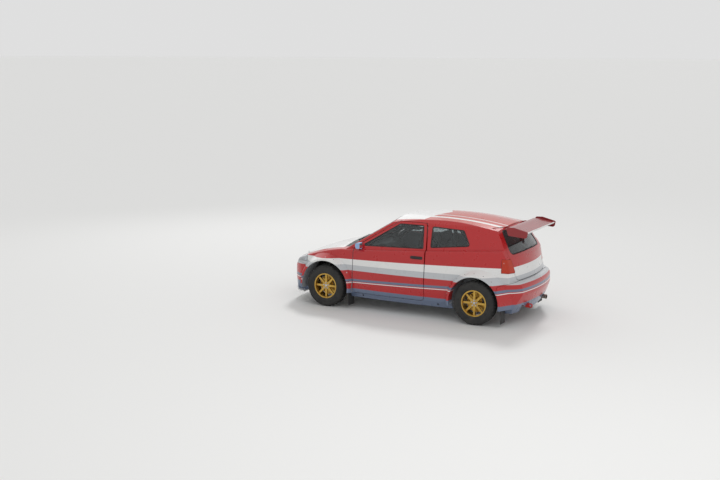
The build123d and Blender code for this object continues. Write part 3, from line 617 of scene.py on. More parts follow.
def oblong(half_x, half_y, corner=0.0):
    """A rounded rectangle about the origin."""
    corners = ((-1, -1), (1, -1), (1, 1), (-1, 1))
    return rounded([(x * half_x, y * half_y, corner) for x, y in corners])


def circle(radius, steps, height=None):
    """Points round the origin as columns x and y, or x, y and height."""
    turns = [math.tau * i / steps for i in range(steps)]
    if height is None:
        return [(radius * math.cos(a), radius * math.sin(a)) for a in turns]
    return [Vector((radius * math.cos(a), radius * math.sin(a), height)) for a in turns]


def inset(outline, depth):
    """An outline moved inward by a depth."""
    count = len(outline)
    area = sum(a.x * b.y - b.x * a.y for a, b in zip(outline, outline[1:] + outline[:1]))
    turn = 1 if area > 0 else -1
    out = []
    for i, p in enumerate(outline):
        along = (outline[(i + 1) % count] - outline[i - 1]).normalized()
        out.append(p + Vector((-along.y, along.x)) * turn * depth)
    return out


def slab(bm, outline, frame_matrix, thickness, edge):
    """An outline in the frame's X and Y given thickness along its Z, with rounded edges."""
    soft = SOFT_SHARE * edge
    stages = [(edge, 0.0), (soft, soft), (0.0, edge)]
    stages += [(0.0, thickness - edge), (soft, thickness - soft), (edge, thickness)]
    rings = []
    for depth, height in stages:
        ring = [frame_matrix @ Vector((p.x, p.y, height)) for p in inset(outline, depth)]
        rings.append(ring)
    add_rings(bm, rings)


def button(bm, frame_matrix, radius, height, edge=0.002, steps=32):
    """A round knob or cap with a softened rim, standing on the frame's plane."""
    soft = SOFT_SHARE * edge
    profile = [(radius, 0.0), (radius, height - edge)]
    profile += [(radius - soft, height - soft), (radius - edge, height)]
    add_rings(bm, [[frame_matrix @ p for p in circle(r, steps, h)] for r, h in profile])


print("corner steps", CORNER_STEPS)

# %% [markdown]
# Pieces that lie on the body take their place and slope from the CAD surface itself. A ray is shot at
# a panel, and where it lands there is a place and a normal. That way a handle or a screw still fits
# after a panel has been changed.

# %% Helpers for reading the CAD surface
def merged(node):
    """A copy of a CAD node's mesh with its split corners joined."""
    bm = bmesh.new()
    bm.from_mesh(NODES[node].data)
    bmesh.ops.remove_doubles(bm, verts=bm.verts, dist=2e-5)
    bm.normal_update()
    return bm


TREES = {}


def surface_hit(node, origin, direction):
    """Where a ray first meets a CAD node, and the surface's normal there."""
    if node not in TREES:
        mesh = NODES[node].data
        places = [v.co for v in mesh.vertices]
        TREES[node] = BVHTree.FromPolygons(places, [p.vertices for p in mesh.polygons])
    place, normal, _, _ = TREES[node].ray_cast(Vector(origin), Vector(direction))
    if place is None:
        raise ValueError("no surface of " + node + " on that ray")
    if normal.dot(Vector(direction)) > 0:
        normal = -normal
    return place, normal


def on_side(node, x, z, side):
    """A place and a normal on a side of the car."""
    return surface_hit(node, (x, side * 2.0, z), (0, -side, 0))


def surface_turn(normal):
    """A turn whose Z is the normal and whose X stays level, pointing forward where it can."""
    z = normal.normalized()
    level = Vector((0, 0, 1)).cross(z)
    if level.length < 0.2:
        level = Vector((1, 0, 0))
    x = (level - z * level.dot(z)).normalized()
    y = z.cross(x)
    return Matrix((x, y, z)).transposed().to_4x4()


print("middle of the roof", [round(v, 3) for v in surface_hit("roof_skin", (-0.5, 0, 3), (0, 0, -1))[0]])

# %% [markdown]
# Many small parts repeat round a wheel or along an edge. Geometry Nodes places them, and this first
# tree turns a part round an axis a given number of times. The result is turned into a plain mesh at
# once, so nothing depends on the modifier later.

# %% Node tree for rings
def new_tree(name, inputs):
    """An empty geometry tree with named inputs, and what those inputs give."""
    tree = bpy.data.node_groups.new(name, "GeometryNodeTree")
    for label, kind in {"Geometry": "Geometry", **inputs, "Finish": "Material"}.items():
        tree.interface.new_socket(label, in_out="INPUT", socket_type="NodeSocket" + kind)
    tree.interface.new_socket("Geometry", in_out="OUTPUT", socket_type="NodeSocketGeometry")
    return tree, new_node(tree, "NodeGroupInput").outputs


def finish_tree(tree, given, points, part, turn):
    """Stand the part on each point, realise the copies, give them their finish and send them out."""
    placed = {"Points": points, "Instance": part, "Rotation": turn}
    copies = new_node(tree, "GeometryNodeInstanceOnPoints", placed).outputs[0]
    real = new_node(tree, "GeometryNodeRealizeInstances", {"Geometry": copies}).outputs[0]
    dressed = {"Geometry": real, "Material": given["Finish"]}
    out = new_node(tree, "GeometryNodeSetMaterial", dressed).outputs[0]
    new_node(tree, "NodeGroupOutput", {0: out})
    return tree


def ring_tree():
    """Turn the incoming part round the Y axis, Count times in one full turn."""
    tree, given = new_tree("ring_of_parts", {"Count": "Int", "Phase": "Float"})
    points = new_node(tree, "GeometryNodePoints", {"Count": given["Count"]}).outputs[0]
    index = new_node(tree, "GeometryNodeInputIndex").outputs[0]
    share = new_node(tree, "ShaderNodeMath", {0: index, 1: given["Count"]}, operation="DIVIDE").outputs[0]
    turned = {0: share, 1: math.tau, 2: given["Phase"]}
    angle = new_node(tree, "ShaderNodeMath", turned, operation="MULTIPLY_ADD").outputs[0]
    euler = new_node(tree, "ShaderNodeCombineXYZ", {"Y": angle}).outputs[0]
    turn = new_node(tree, "FunctionNodeEulerToRotation", {0: euler}).outputs[0]
    return finish_tree(tree, given, points, given["Geometry"], turn)


def grown_mesh(tree, mesh, values):
    """Run a tree on a mesh with its named inputs set, and keep the result as a plain mesh."""
    carrier = bpy.data.objects.new("carrier", mesh)
    bpy.context.collection.objects.link(carrier)
    modifier = carrier.modifiers.new("grow", "NODES")
    modifier.node_group = tree
    for item in tree.interface.items_tree:
        if item.in_out == "INPUT" and item.name in values:
            modifier[item.identifier] = values[item.name]
    bpy.context.view_layer.update()
    result = bpy.data.meshes.new_from_object(carrier.evaluated_get(bpy.context.evaluated_depsgraph_get()))
    bpy.data.objects.remove(carrier)
    return result


RING_TREE = ring_tree()


def ring_mesh(part, count, phase, finish):
    """A ring of copies of a bmesh part round the Y axis."""
    bmesh.ops.recalc_face_normals(part, faces=part.faces)
    mesh = bpy.data.meshes.new("part")
    part.to_mesh(mesh)
    part.free()
    return grown_mesh(RING_TREE, mesh, {"Count": count, "Phase": phase, "Finish": FINISHES[finish]})


print("tree", RING_TREE.name)

# %% [markdown]
# Screws and nuts stand in rows. The second tree stands one on each of a set of points, and turns it
# along the direction that the point carries. Its head and washer are cylinders of the tree's own, so
# their sizes are inputs, and one tree serves every size.

# %% Node tree for fasteners
def cylinder_node(tree, sides, radius, depth):
    """A short cylinder standing on its plane, its sizes joined to outputs."""
    sizes = {"Vertices": sides, "Radius": radius, "Depth": depth}
    body = new_node(tree, "GeometryNodeMeshCylinder", sizes).outputs["Mesh"]
    half = new_node(tree, "ShaderNodeMath", {0: depth, 1: 0.5}, operation="MULTIPLY").outputs[0]
    offset = new_node(tree, "ShaderNodeCombineXYZ", {"Z": half}).outputs[0]
    return new_node(tree, "GeometryNodeTransform", {"Geometry": body, "Translation": offset}).outputs[0]


def fastener_tree():
    """Stand a hexagon head on its washer at each incoming point, facing along the point's own direction."""
    sizes = ("Head Radius", "Head Height", "Washer Radius", "Washer Height")
    tree, given = new_tree("fasteners_on_points", {label: "Float" for label in sizes})
    head = cylinder_node(tree, 6, given["Head Radius"], given["Head Height"])
    washer = cylinder_node(tree, 20, given["Washer Radius"], given["Washer Height"])
    both = new_node(tree, "GeometryNodeJoinGeometry", {0: head})
    tree.links.new(washer, both.inputs[0])
    named = {"Name": "facing"}
    facing = new_node(tree, "GeometryNodeInputNamedAttribute", named, data_type="FLOAT_VECTOR")
    along = {"Vector": facing.outputs["Attribute"]}
    turn = new_node(tree, "FunctionNodeAlignRotationToVector", along, axis="Z").outputs[0]
    return finish_tree(tree, given, given["Geometry"], both.outputs[0], turn)


FASTENER_TREE = fastener_tree()


def fasteners(name, spots, body, finish="bright_steel", head=(0.0045, 0.0035), washer=(0.008, 0.0012)):
    """Fasteners standing on spots, each a place and a direction."""
    mesh = bpy.data.meshes.new("spots")
    mesh.from_pydata([place for place, _ in spots], [], [])
    facing = mesh.attributes.new("facing", "FLOAT_VECTOR", "POINT")
    for row, (_, direction) in zip(facing.data, spots):
        row.vector = direction
    values = {"Head Radius": head[0], "Head Height": head[1], "Finish": FINISHES[finish]}
    values.update({"Washer Radius": washer[0], "Washer Height": washer[1]})
    return place_mesh(name, grown_mesh(FASTENER_TREE, mesh, values), finish, body)


print("tree", FASTENER_TREE.name)

# %% [markdown]
# A gravel tyre is a smooth carcass with separate rubber blocks standing on it. The carcass is turned
# from the CAD tyre's own section, less the tread's depth. The blocks follow the same crown and
# shoulder line, in four rows that are staggered as on a real tyre.

# %% Tyres
WHEELS = {
    "front_left": (1.200, 0.800, 1),
    "front_right": (1.200, -0.800, -1),
    "rear_left": (-1.290, 0.800, 1),
    "rear_right": (-1.290, -0.800, -1),
}
AXLE_Z = 0.325
TREAD_COUNT = 38
TREAD_DEPTH = 0.009
BLOCK_SINK = 0.001
BLOCK_CHAMFER = 0.001
BLOCK_END_DROP = 0.0018
BLOCK_STATIONS = (0.0, 0.12, 0.5, 0.88, 1.0)
CARCASS = [
    # radius, distance from the wheel's middle
    (0.196, -0.078), (0.206, -0.084), (0.232, -0.092), (0.240, -0.0925), (0.242, -0.0905),
    (0.262, -0.0915), (0.275, -0.093), (0.292, -0.0895), (0.294, -0.0915), (0.299, -0.0875),
    (0.308, -0.083), (0.314, -0.070), (0.316, -0.040), (0.3165, 0.0),
]
TREAD_ROWS = (
    # inner and outer distance from the middle, half length in degrees, phase in pitches, slant in degrees
    (0.003, 0.034, 2.9, 0.0, 1.1),
    (-0.034, -0.003, 2.9, 0.5, 1.1),
    (0.040, 0.082, 3.3, 0.25, -1.3),
    (-0.082, -0.040, 3.3, 0.75, -1.3),
)
CROWN = ((0.0, 0.325), (0.040, 0.3236), (0.068, 0.322), (0.084, 0.308), (0.093, 0.275))


def crown_radius(y):
    """The CAD tyre's outer radius at a distance from its middle."""
    y = abs(y)
    for (y0, r0), (y1, r1) in zip(CROWN, CROWN[1:]):
        if y <= y1:
            return r0 + (r1 - r0) * (y - y0) / (y1 - y0)
    return CROWN[-1][1]


def tread_block(inner, outer, half_degrees, slant_degrees):
    """One block: its top follows the crown, its flanks taper, and it leans across the tread."""
    bm = bmesh.new()
    stations = [inner + (outer - inner) * t for t in BLOCK_STATIONS]
    rings = []
    for y in stations:
        ends = y in (stations[0], stations[-1])
        top = crown_radius(y) - (BLOCK_END_DROP if ends else 0.0)
        brow = top - BLOCK_CHAMFER
        foot = crown_radius(y) - TREAD_DEPTH - BLOCK_SINK
        lean = math.radians(slant_degrees) * (y - inner) / (outer - inner)
        half = math.radians(half_degrees)
        ring = []
        for share, radius in ((-1, foot), (-0.9, brow), (-0.84, top), (0.84, top), (0.9, brow), (1, foot)):
            a = share * half + lean
            ring.append(Vector((radius * math.sin(a), y, radius * math.cos(a))))
        rings.append(ring)
    add_rings(bm, rings)
    return bm


def tyre_mesh():
    """A whole tyre at the origin, its axle along Y."""
    bm = bmesh.new()
    section = CARCASS + [(r, -y) for r, y in reversed(CARCASS[:-1])]
    lathe(bm, section, axis_frame((0, 0, 0), (0, 1, 0)), 128)
    bmesh.ops.recalc_face_normals(bm, faces=bm.faces)
    for inner, outer, length, phase, slant in TREAD_ROWS:
        block = tread_block(inner, outer, length, slant)
        bm.from_mesh(ring_mesh(block, TREAD_COUNT, phase * math.tau / TREAD_COUNT, "tyre_rubber"))
    mesh = bpy.data.meshes.new("tyre")
    bm.to_mesh(mesh)
    bm.free()
    return mesh


def build_tyres():
    pattern = tyre_mesh()
    for name, (x, y, side) in WHEELS.items():
        mesh = pattern.copy()
        turn = Matrix.Rotation(0 if side > 0 else math.pi, 4, "Z")
        mesh.transform(Matrix.Translation((x, y, AXLE_Z)) @ turn)
        place_mesh("rubber_" + name, mesh, "tyre_rubber", "wheel_" + name, ["tyre_" + name])
    return pattern


tyre_pattern = build_tyres()
tyre_reach = max(v.co.length for v in tyre_pattern.vertices)
print("tyre faces", len(tyre_pattern.polygons), "reach", round(tyre_reach, 4))

# %% [markdown]
# Each wheel is held by five nuts on its hub face, round a pressed cap over the spindle. The nuts are
# one hexagon part turned round the axle. Both stay inside the tyre's own width.

# %% Wheel nuts and hub caps
HUB_FACE = 0.050
NUT_CIRCLE_R = 0.042
NUT_R = 0.0105
NUTS = 5
NUT_SECTION = (
    # radius, distance out from the hub face
    (NUT_R * 1.25, 0.0), (NUT_R * 1.2, 0.002), (NUT_R, 0.0025), (NUT_R, 0.012), (NUT_R * 0.75, 0.015),
)
CAP_SECTION = ((0.012, 0.0575), (0.020, 0.054), (0.0225, 0.046))


def nut_part():
    """A hexagon nut with a domed end, on the hub face, at the top of its circle."""
    bm = bmesh.new()
    rings = []
    for r, h in NUT_SECTION:
        rings.append([Vector((x, HUB_FACE + h, NUT_CIRCLE_R + z)) for x, z in circle(r, 6)])
    add_rings(bm, rings)
    return bm


def build_hubs():
    for name, (x, y, side) in WHEELS.items():
        bm = bmesh.new()
        bm.from_mesh(ring_mesh(nut_part(), NUTS, 0.0, "bright_steel"))
        add_rings(bm, [[Vector((x, h, z)) for x, z in circle(r, 40)] for r, h in CAP_SECTION])
        if side < 0:
            half_turn = Matrix.Rotation(math.pi, 3, "Z")
            bmesh.ops.rotate(bm, verts=bm.verts, cent=(0, 0, 0), matrix=half_turn)
        bmesh.ops.translate(bm, verts=bm.verts, vec=(x, y, AXLE_Z))
        make_piece("wheel_nuts_" + name, bm, "bright_steel", "wheel_" + name)
    return len(WHEELS)


print("hubs", build_hubs())

# %% [markdown]
# Every pane sits in a rubber seal. A seal is one soft strip that runs round the glass and fills the
# step up to the body, so it is swept along the rim of the pane's own outer face. Starting from the
# CAD pane keeps the strip exactly on the glass, also where the glass curves.

# %% Window seals
SEAL_STEP = 0.012
SEAL_SECTION = [
    # across the glass from its rim inward, and out from the glass
    (-0.0005, -0.0005), (-0.0005, 0.0066), (0.0030, 0.0076), (0.0080, 0.0070),
    (0.0130, 0.0042), (0.0160, 0.0008), (0.0160, -0.0005),
]
PANES = (
    # CAD node, body, direction that its outer face looks, ending of the seal's name
    ("door_glass_left", "door_left", (0, 1, 0), ""),
    ("door_glass_right", "door_right", (0, -1, 0), ""),
    ("windscreen", "body", (1, 0, 0.4), ""),
    ("rear_glass", "tailgate", (-1, 0, 0.3), ""),
    ("quarter_glass", "body", (0, 1, 0), "_left"),
    ("quarter_glass", "body", (0, -1, 0), "_right"),
)
FACING_SHARE = 0.5


def rim_loop(node, direction):
    """The rim of a pane's outer face as even places and normals."""
    bm = merged(node)
    look = Vector(direction).normalized()
    outer = {f for f in bm.faces if f.normal.dot(look) > FACING_SHARE}
    links = {}
    for edge in bm.edges:
        if len([f for f in edge.link_faces if f in outer]) == 1:
            a, b = edge.verts
            links.setdefault(a, []).append(b)
            links.setdefault(b, []).append(a)
    first = next(iter(links))
    chain, before, here = [first], None, first
    while True:
        following = [v for v in links[here] if v is not before][0]
        if following is first:
            break
        chain.append(following)
        before, here = here, following
    rows = []
    for v in chain:
        normal = Vector()
        for f in v.link_faces:
            if f in outer:
                normal += f.normal * f.calc_area()
        rows.append((v.co.copy(), normal.normalized()))
    bm.free()
    return even_loop(rows, SEAL_STEP)


def even_loop(rows, step):
    """A closed chain of places and normals, spaced evenly."""
    places = [p for p, _ in rows]
    lengths = [(b - a).length for a, b in zip(places, places[1:] + places[:1])]
    total = sum(lengths)
    count = max(12, int(total / step))
    out, k, passed = [], 0, 0.0
    for i in range(count):
        want = total * i / count
        while passed + lengths[k] < want:
            passed += lengths[k]
            k += 1
        t = (want - passed) / max(lengths[k], 1e-9)
        p = rows[k][0].lerp(rows[(k + 1) % len(rows)][0], t)
        n = rows[k][1].lerp(rows[(k + 1) % len(rows)][1], t).normalized()
        out.append((p, n))
    return out


def strip_round(rows, section):
    """A strip along a loop, its across direction turned to the loop's inside."""
    path = [p for p, _ in rows]
    normals = [n for _, n in rows]
    middle = sum(path, Vector()) / len(path)
    along = (path[1] - path[-1]).normalized()
    if normals[0].cross(along).dot(middle - path[0]) < 0:
        section = [(-u, v) for u, v in section]
    bm = bmesh.new()
    sweep(bm, path, normals, section)
    return bm


def build_seals():
    for node, body, direction, ending in PANES:
        bm = strip_round(rim_loop(node, direction), SEAL_SECTION)
        make_piece("seal_" + node + ending, bm, "seal_rubber", body)
    return len(PANES)


print("seals", build_seals())

# %% [markdown]
# A head or tail lamp is a clear or coloured cover over a dark housing, with round reflectors behind.
# Each CAD lamp is one solid. A copy of it is split: the faces that are part of the body's surface
# become the cover, and the rest becomes the open housing. The reflectors are turned bowls with a
# small bulb, set back far enough to stay behind the cover.

# %% Lamps
COVER_THICK = 0.003
COVER_FACING = 0.1
HOUSING_THICK = 0.002
BOWL_R = 0.034
BOWL_SECTION = [
    # radius, distance ahead of the bowl's bottom
    (0.009, 0.0), (0.009, 0.004), (0.018, 0.006), (0.027, 0.015), (BOWL_R - 0.001, 0.030),
    (BOWL_R + 0.002, 0.031), (BOWL_R + 0.002, 0.027), (0.029, 0.012), (0.019, 0.002), (0.012, -0.002),
]
BULB_SECTION = [
    (0.0075, -0.001), (0.0075, 0.016), (0.006, 0.020), (0.003, 0.0225), (0.0008, 0.023), (0.0008, -0.001),
]
BOWL_DEPTH = 0.031
BOWL_GAP = 0.004
LAMPS = (
    # CAD node, direction its cover looks along X, cover's finish, bulb's finish, bowls as y and z
    ("headlamps", 1, "lamp_clear", "plate_white", ((0.610, 0.692), (0.700, 0.706))),
    ("tail_lamps", -1, "lamp_red", "amber_bulb", ((0.668, 0.838), (0.690, 0.926))),
)


def split_lamp(node, look, finish):
    """The cover and the housing, from a copy of the CAD lamp."""
    for kind, keep_outer, thick in (("cover", True, COVER_THICK), ("housing", False, HOUSING_THICK)):
        bm = merged(node)
        drop = [f for f in bm.faces if (f.normal.x * look > COVER_FACING) != keep_outer]
        bmesh.ops.delete(bm, geom=drop, context="FACES")
        rims = [e for e in bm.edges if e.is_boundary]
        inner = bmesh.ops.duplicate(bm, geom=bm.verts[:] + bm.edges[:] + bm.faces[:])
        pairs = inner["vert_map"]
        for v in [g for g in inner["geom"] if isinstance(g, bmesh.types.BMVert)]:
            v.co -= pairs[v].normal * thick if v in pairs else v.normal * thick
        bmesh.ops.reverse_faces(bm, faces=[g for g in inner["geom"] if isinstance(g, bmesh.types.BMFace)])
        for edge in rims:
            a, b = edge.verts
            bm.faces.new((a, b, pairs[b], pairs[a]))
        name = node + "_" + kind
        if keep_outer:
            make_piece(name, bm, finish, "body", [node])
        else:
            make_piece(name, bm, "black_plastic", "body")


def add_bowls(node, look, spots, finish):
    """Reflector bowls and bulbs on both sides, each behind the lowest point of its cover."""
    bowls, bulbs = bmesh.new(), bmesh.new()
    for side in (-1, 1):
        for y, z in spots:
            reach = []
            for dy, dz in ((0, 0), (BOWL_R, 0), (-BOWL_R, 0), (0, BOWL_R), (0, -BOWL_R)):
                start = (look * 3.0, side * (y + dy), z + dz)
                reach.append(surface_hit(node, start, (-look, 0, 0))[0].x * look)
            front = (min(reach) - COVER_THICK - BOWL_GAP) * look
            place = axis_frame((front - look * BOWL_DEPTH, side * y, z), (look, 0, 0))
            lathe(bowls, BOWL_SECTION, place, 40)
            lathe(bulbs, BULB_SECTION, place, 20)
    make_piece(node + "_bowls", bowls, "reflector", "body")
    make_piece(node + "_bulbs", bulbs, finish, "body")


def build_lamps():
    for node, look, finish, bulb, spots in LAMPS:
        add_bowls(node, look, spots, bulb)
        split_lamp(node, look, finish)
    return [row[0] for row in LAMPS]


print("lamps", build_lamps())

# %% [markdown]
# A pull handle is a bowed grip on two feet, over a shallow oval plate. Its path is read from the door
# point by point, and lifted off it in the middle, so the grip follows the door's own curve.

# %% Door handles
HANDLE_X, HANDLE_Z = -0.345, 0.905
HANDLE_HALF = 0.085
GRIP_RISE = 0.018
GRIP_SECTION = [
    (-0.004, -0.011), (0.002, -0.011), (0.005, -0.007), (0.005, 0.007), (0.002, 0.011), (-0.004, 0.011),
]


def build_handle(side, body):
    bm = bmesh.new()
    path, normals = [], []
    for i in range(13):
        t = i / 12 * 2 - 1
        place, normal = on_side(body, HANDLE_X + t * HANDLE_HALF, HANDLE_Z, side)
        rise = GRIP_RISE * (1 - t**4) ** 0.5 if abs(t) < 1 else 0.0
        path.append(place + normal * (rise + 0.001))
        normals.append(Vector((0, 0, 1)))
    sweep(bm, path, normals, GRIP_SECTION, closed=False)
    place, normal = on_side(body, HANDLE_X, HANDLE_Z, side)
    at = Matrix.Translation(place - normal * 0.003) @ surface_turn(normal)
    slab(bm, oblong(0.10, 0.022, 0.02), at, 0.0055, 0.0015)
    return make_piece("handle_" + body, bm, "black_plastic", body)


print("handles", [build_handle(*row).name for row in ((1, "door_left"), (-1, "door_right"))])

# %% [markdown]
# Bolted arch flares show a row of small screws. Each screw stands where a ray meets the flare, on a
# circle a little inside its rim. Places where the ray misses the panel, or lands further in than the
# flare, are left out.

# %% Flare screws
FLARE_SCREWS = 9
FLARE_SCREW_R = {"front": 0.452, "rear": 0.438}
FLARE_FROM, FLARE_SPAN = 14, 152
FLARE_LEAST_Y = 0.78


def build_flare_screws():
    """Screws along each flare, on the panel that carries the flare there."""
    for end, centre, node in (("front", 1.200, "fender"), ("rear", -1.290, "quarter_panel")):
        for side, label in ((1, "left"), (-1, "right")):
            spots = []
            for i in range(FLARE_SCREWS):
                a = math.radians(FLARE_FROM + FLARE_SPAN * i / (FLARE_SCREWS - 1))
                x = centre + FLARE_SCREW_R[end] * math.cos(a)
                z = AXLE_Z + FLARE_SCREW_R[end] * math.sin(a)
                try:
                    place, normal = on_side(node + "_" + label, x, z, side)
                except ValueError:
                    continue
                if abs(place.y) > FLARE_LEAST_Y:
                    spots.append((place, normal))
            fasteners("flare_screws_" + end + "_" + label, spots, "body")
    return FLARE_SCREWS


build_flare_screws()
print("most screws on a flare", FLARE_SCREWS)

# %% [markdown]
# Wipers park low on the windscreen. Each is an arm and a blade, swept along places read from the
# glass, so both follow its bow. The bonnet pins are a round plate, a pin and a ring clip, made of
# buttons and one small ring.

# %% Wipers and bonnet pins
WIPERS = ((0.50, -0.05), (-0.06, -0.60))
WIPER_Z, WIPER_RISE = 1.018, 0.060
BLADE_SECTION = [
    (-0.002, -0.009), (0.002, -0.009), (0.0035, 0.0), (0.002, 0.006), (-0.002, 0.006), (-0.0035, 0.0),
]
ARM_SECTION = [(-0.006, -0.002), (0.006, -0.002), (0.005, 0.003), (-0.005, 0.003)]
PIN_X, PIN_Y = 1.74, 0.46
CLIP_SECTION = [(0.0125, -0.0012), (0.0150, -0.0012), (0.0150, 0.0012), (0.0125, 0.0012)]


def build_wipers():
    bm = bmesh.new()
    for pivot_y, tip_y in WIPERS:
        path, normals = [], []
        for i in range(15):
            t = i / 14
            y = pivot_y + (tip_y - pivot_y) * t
            z = WIPER_Z + WIPER_RISE * t
            place, normal = surface_hit("windscreen", (3.0, y, z), (-1, 0, 0))
            path.append(place + normal * 0.010)
            normals.append(normal)
        sweep(bm, path[1:], normals[1:], BLADE_SECTION, closed=False)
        arm = [p + n * 0.012 for p, n in zip(path[:9], normals)]
        sweep(bm, arm, normals[:9], ARM_SECTION, closed=False)
        button(bm, axis_frame(path[0] - normals[0] * 0.008, normals[0]), 0.013, 0.024)
    return make_piece("wipers", bm, "black_plastic", "body")


def build_bonnet_pins():
    bm = bmesh.new()
    for side in (-1, 1):
        place, normal = surface_hit("bonnet", (PIN_X, side * PIN_Y, 2.0), (0, 0, -1))
        at = axis_frame(place - normal * 0.001, normal)
        button(bm, at, 0.024, 0.003, 0.001)
        button(bm, at, 0.006, 0.017, 0.002, 16)
        lathe(bm, CLIP_SECTION, axis_frame(place + normal * 0.010, Vector((0, 1, 0))), 32)
    return make_piece("bonnet_pins", bm, "bright_steel", "bonnet")


print("made", build_wipers().name, build_bonnet_pins().name)

# %% [markdown]
# The fuel flap is a flush round door in a rubber ring with a small lock, low on the right rear
# quarter. All three parts stand on one place of the panel, each a little deeper or higher.

# %% Fuel flap
FLAP_X, FLAP_Z = -0.88, 0.985
FLAP_RING = [(0.064, 0.0), (0.064, 0.0060), (0.0655, 0.0068), (0.070, 0.0064), (0.071, 0.0)]
FLAP_LOCK_FROM_MIDDLE = Vector((-0.042, 0, 0))


def build_flap():
    place, normal = on_side("quarter_panel_right", FLAP_X, FLAP_Z, -1)
    at = axis_frame(place - normal * 0.004, normal)
    ring, door, lock = bmesh.new(), bmesh.new(), bmesh.new()
    lathe(ring, FLAP_RING, at, 64)
    make_piece("fuel_flap_ring", ring, "seal_rubber", "body")
    button(door, at, 0.0625, 0.0062, 0.0015, 64)
    make_piece("fuel_flap", door, "red_paint", "body")
    lock_place = place + normal * 0.0018 + FLAP_LOCK_FROM_MIDDLE
    button(lock, axis_frame(lock_place, normal), 0.009, 0.003, 0.001, 24)
    return make_piece("fuel_flap_lock", lock, "bright_steel", "body")


print("made", build_flap().name)

# %% [markdown]
# Three small finishing parts remain: the pale strip wrapped over the wing's square trailing edge, a
# mirror plate on the back face of each mirror, and the rolled rim of the tailpipe.

# %% Wing strip, mirror glass and pipe rim
STRIP_X, STRIP_Z, STRIP_HALF = -1.972, 1.363, 0.592
STRIP_SECTION = [
    # forward and up from the blade's trailing edge
    (-0.0035, -0.008), (-0.0035, 0.008), (0.018, 0.0065), (0.018, 0.005),
    (0.0, 0.006), (0.0, -0.006), (0.018, -0.012), (0.018, -0.0135),
]
MIRROR_OUTLINE = [
    (-0.046, -0.036, 0.014), (0.046, -0.036, 0.018), (0.046, 0.036, 0.018), (-0.046, 0.036, 0.014),
]
MIRROR_Y, MIRROR_Z = 0.850, 1.008
PIPE_END, PIPE_ALONG = (-1.968, -0.330, 0.26222), (-1, 0, -0.03)
PIPE_R, ROLL_R = 0.0325, 0.0032


def build_wing_strip():
    bm = bmesh.new()
    ends = []
    for y in (-STRIP_HALF, STRIP_HALF):
        ends.append([Vector((STRIP_X + u, y, STRIP_Z + v)) for u, v in STRIP_SECTION])
    add_rings(bm, ends)
    return make_piece("wing_strip", bm, "plate_white", "tailgate")


def build_mirror_glass():
    outline = rounded(MIRROR_OUTLINE)
    for side, label in ((1, "left"), (-1, "right")):
        place, normal = surface_hit("mirror_" + label, (-1.0, side * MIRROR_Y, MIRROR_Z), (1, 0, 0))
        at = Matrix.Translation(place - normal * 0.001) @ surface_turn(normal)
        bm = bmesh.new()
        slab(bm, outline, at, 0.004, 0.001)
        make_piece("mirror_glass_" + label, bm, "mirror_glass", "door_" + label)


def build_pipe_end():
    bm = bmesh.new()
    section = [(PIPE_R + x, z) for x, z in circle(ROLL_R, 12)]
    lathe(bm, section, axis_frame(PIPE_END, PIPE_ALONG), 48)
    return make_piece("tailpipe_rim", bm, "exhaust_steel", "body")


build_wing_strip()
build_mirror_glass()
print("made", build_pipe_end().name)

# %% [markdown]
# A rally seat has quilted pads. Each pad is soft, so it is a grid of points pushed out from the shell
# by its filling, tight along the stitched channels and rounded at its rim. That gives a quilted pad
# directly, with no simulation to wait for.

# %% Seat pads
PAD_DEPTH = 0.042
SEAM_AT = 0.62
PADS = (
    # name, line under the pad as forward and up, half width, stitched channels
    ("base", ((0.248, 0.366), (0.100, 0.354), (-0.030, 0.342)), 0.196, (0.22, 0.42, 0.62, 0.82)),
    ("back", ((-0.072, 0.420), (-0.140, 0.640), (-0.196, 0.830), (-0.222, 0.950)), 0.190,
     (0.14, 0.28, 0.42, 0.56, 0.70, 0.84)),
    ("head", ((-0.228, 0.972), (-0.245, 1.050), (-0.255, 1.112)), 0.128, (0.5,)),
)
PAD_ACROSS = 44
PAD_ALONG = 110
CORNER_BLEND = 0.08


def along_line(line, share):
    """A point on a line in the side view, at a share of its length."""
    points = [Vector((x, 0.0, z)) for x, z in line]
    lengths = [(b - a).length for a, b in zip(points, points[1:])]
    want = share * sum(lengths)
    for a, b, length in zip(points, points[1:], lengths):
        if want <= length or b is points[-1]:
            return a.lerp(b, want / length)
        want -= length


def smooth_line(line, share):
    """The same, and the direction square to the line, blended over its corners."""
    before = along_line(line, max(0.0, share - CORNER_BLEND))
    after = along_line(line, min(1.0, share + CORNER_BLEND))
    run = (after - before).normalized()
    return along_line(line, share), Vector((0, 1, 0)).cross(run) * -1


def bulge(t, sharpness):
    """1 in the middle of a pad and 0 at its rim, with a round shoulder."""
    return max(0.0, 1.0 - abs(t) ** sharpness) ** 0.5


def rim_of(rows):
    """The points round the rim of a grid, in order."""
    return rows[0] + [r[-1] for r in rows[1:]] + rows[-1][-2::-1] + [r[0] for r in rows[-2:0:-1]]


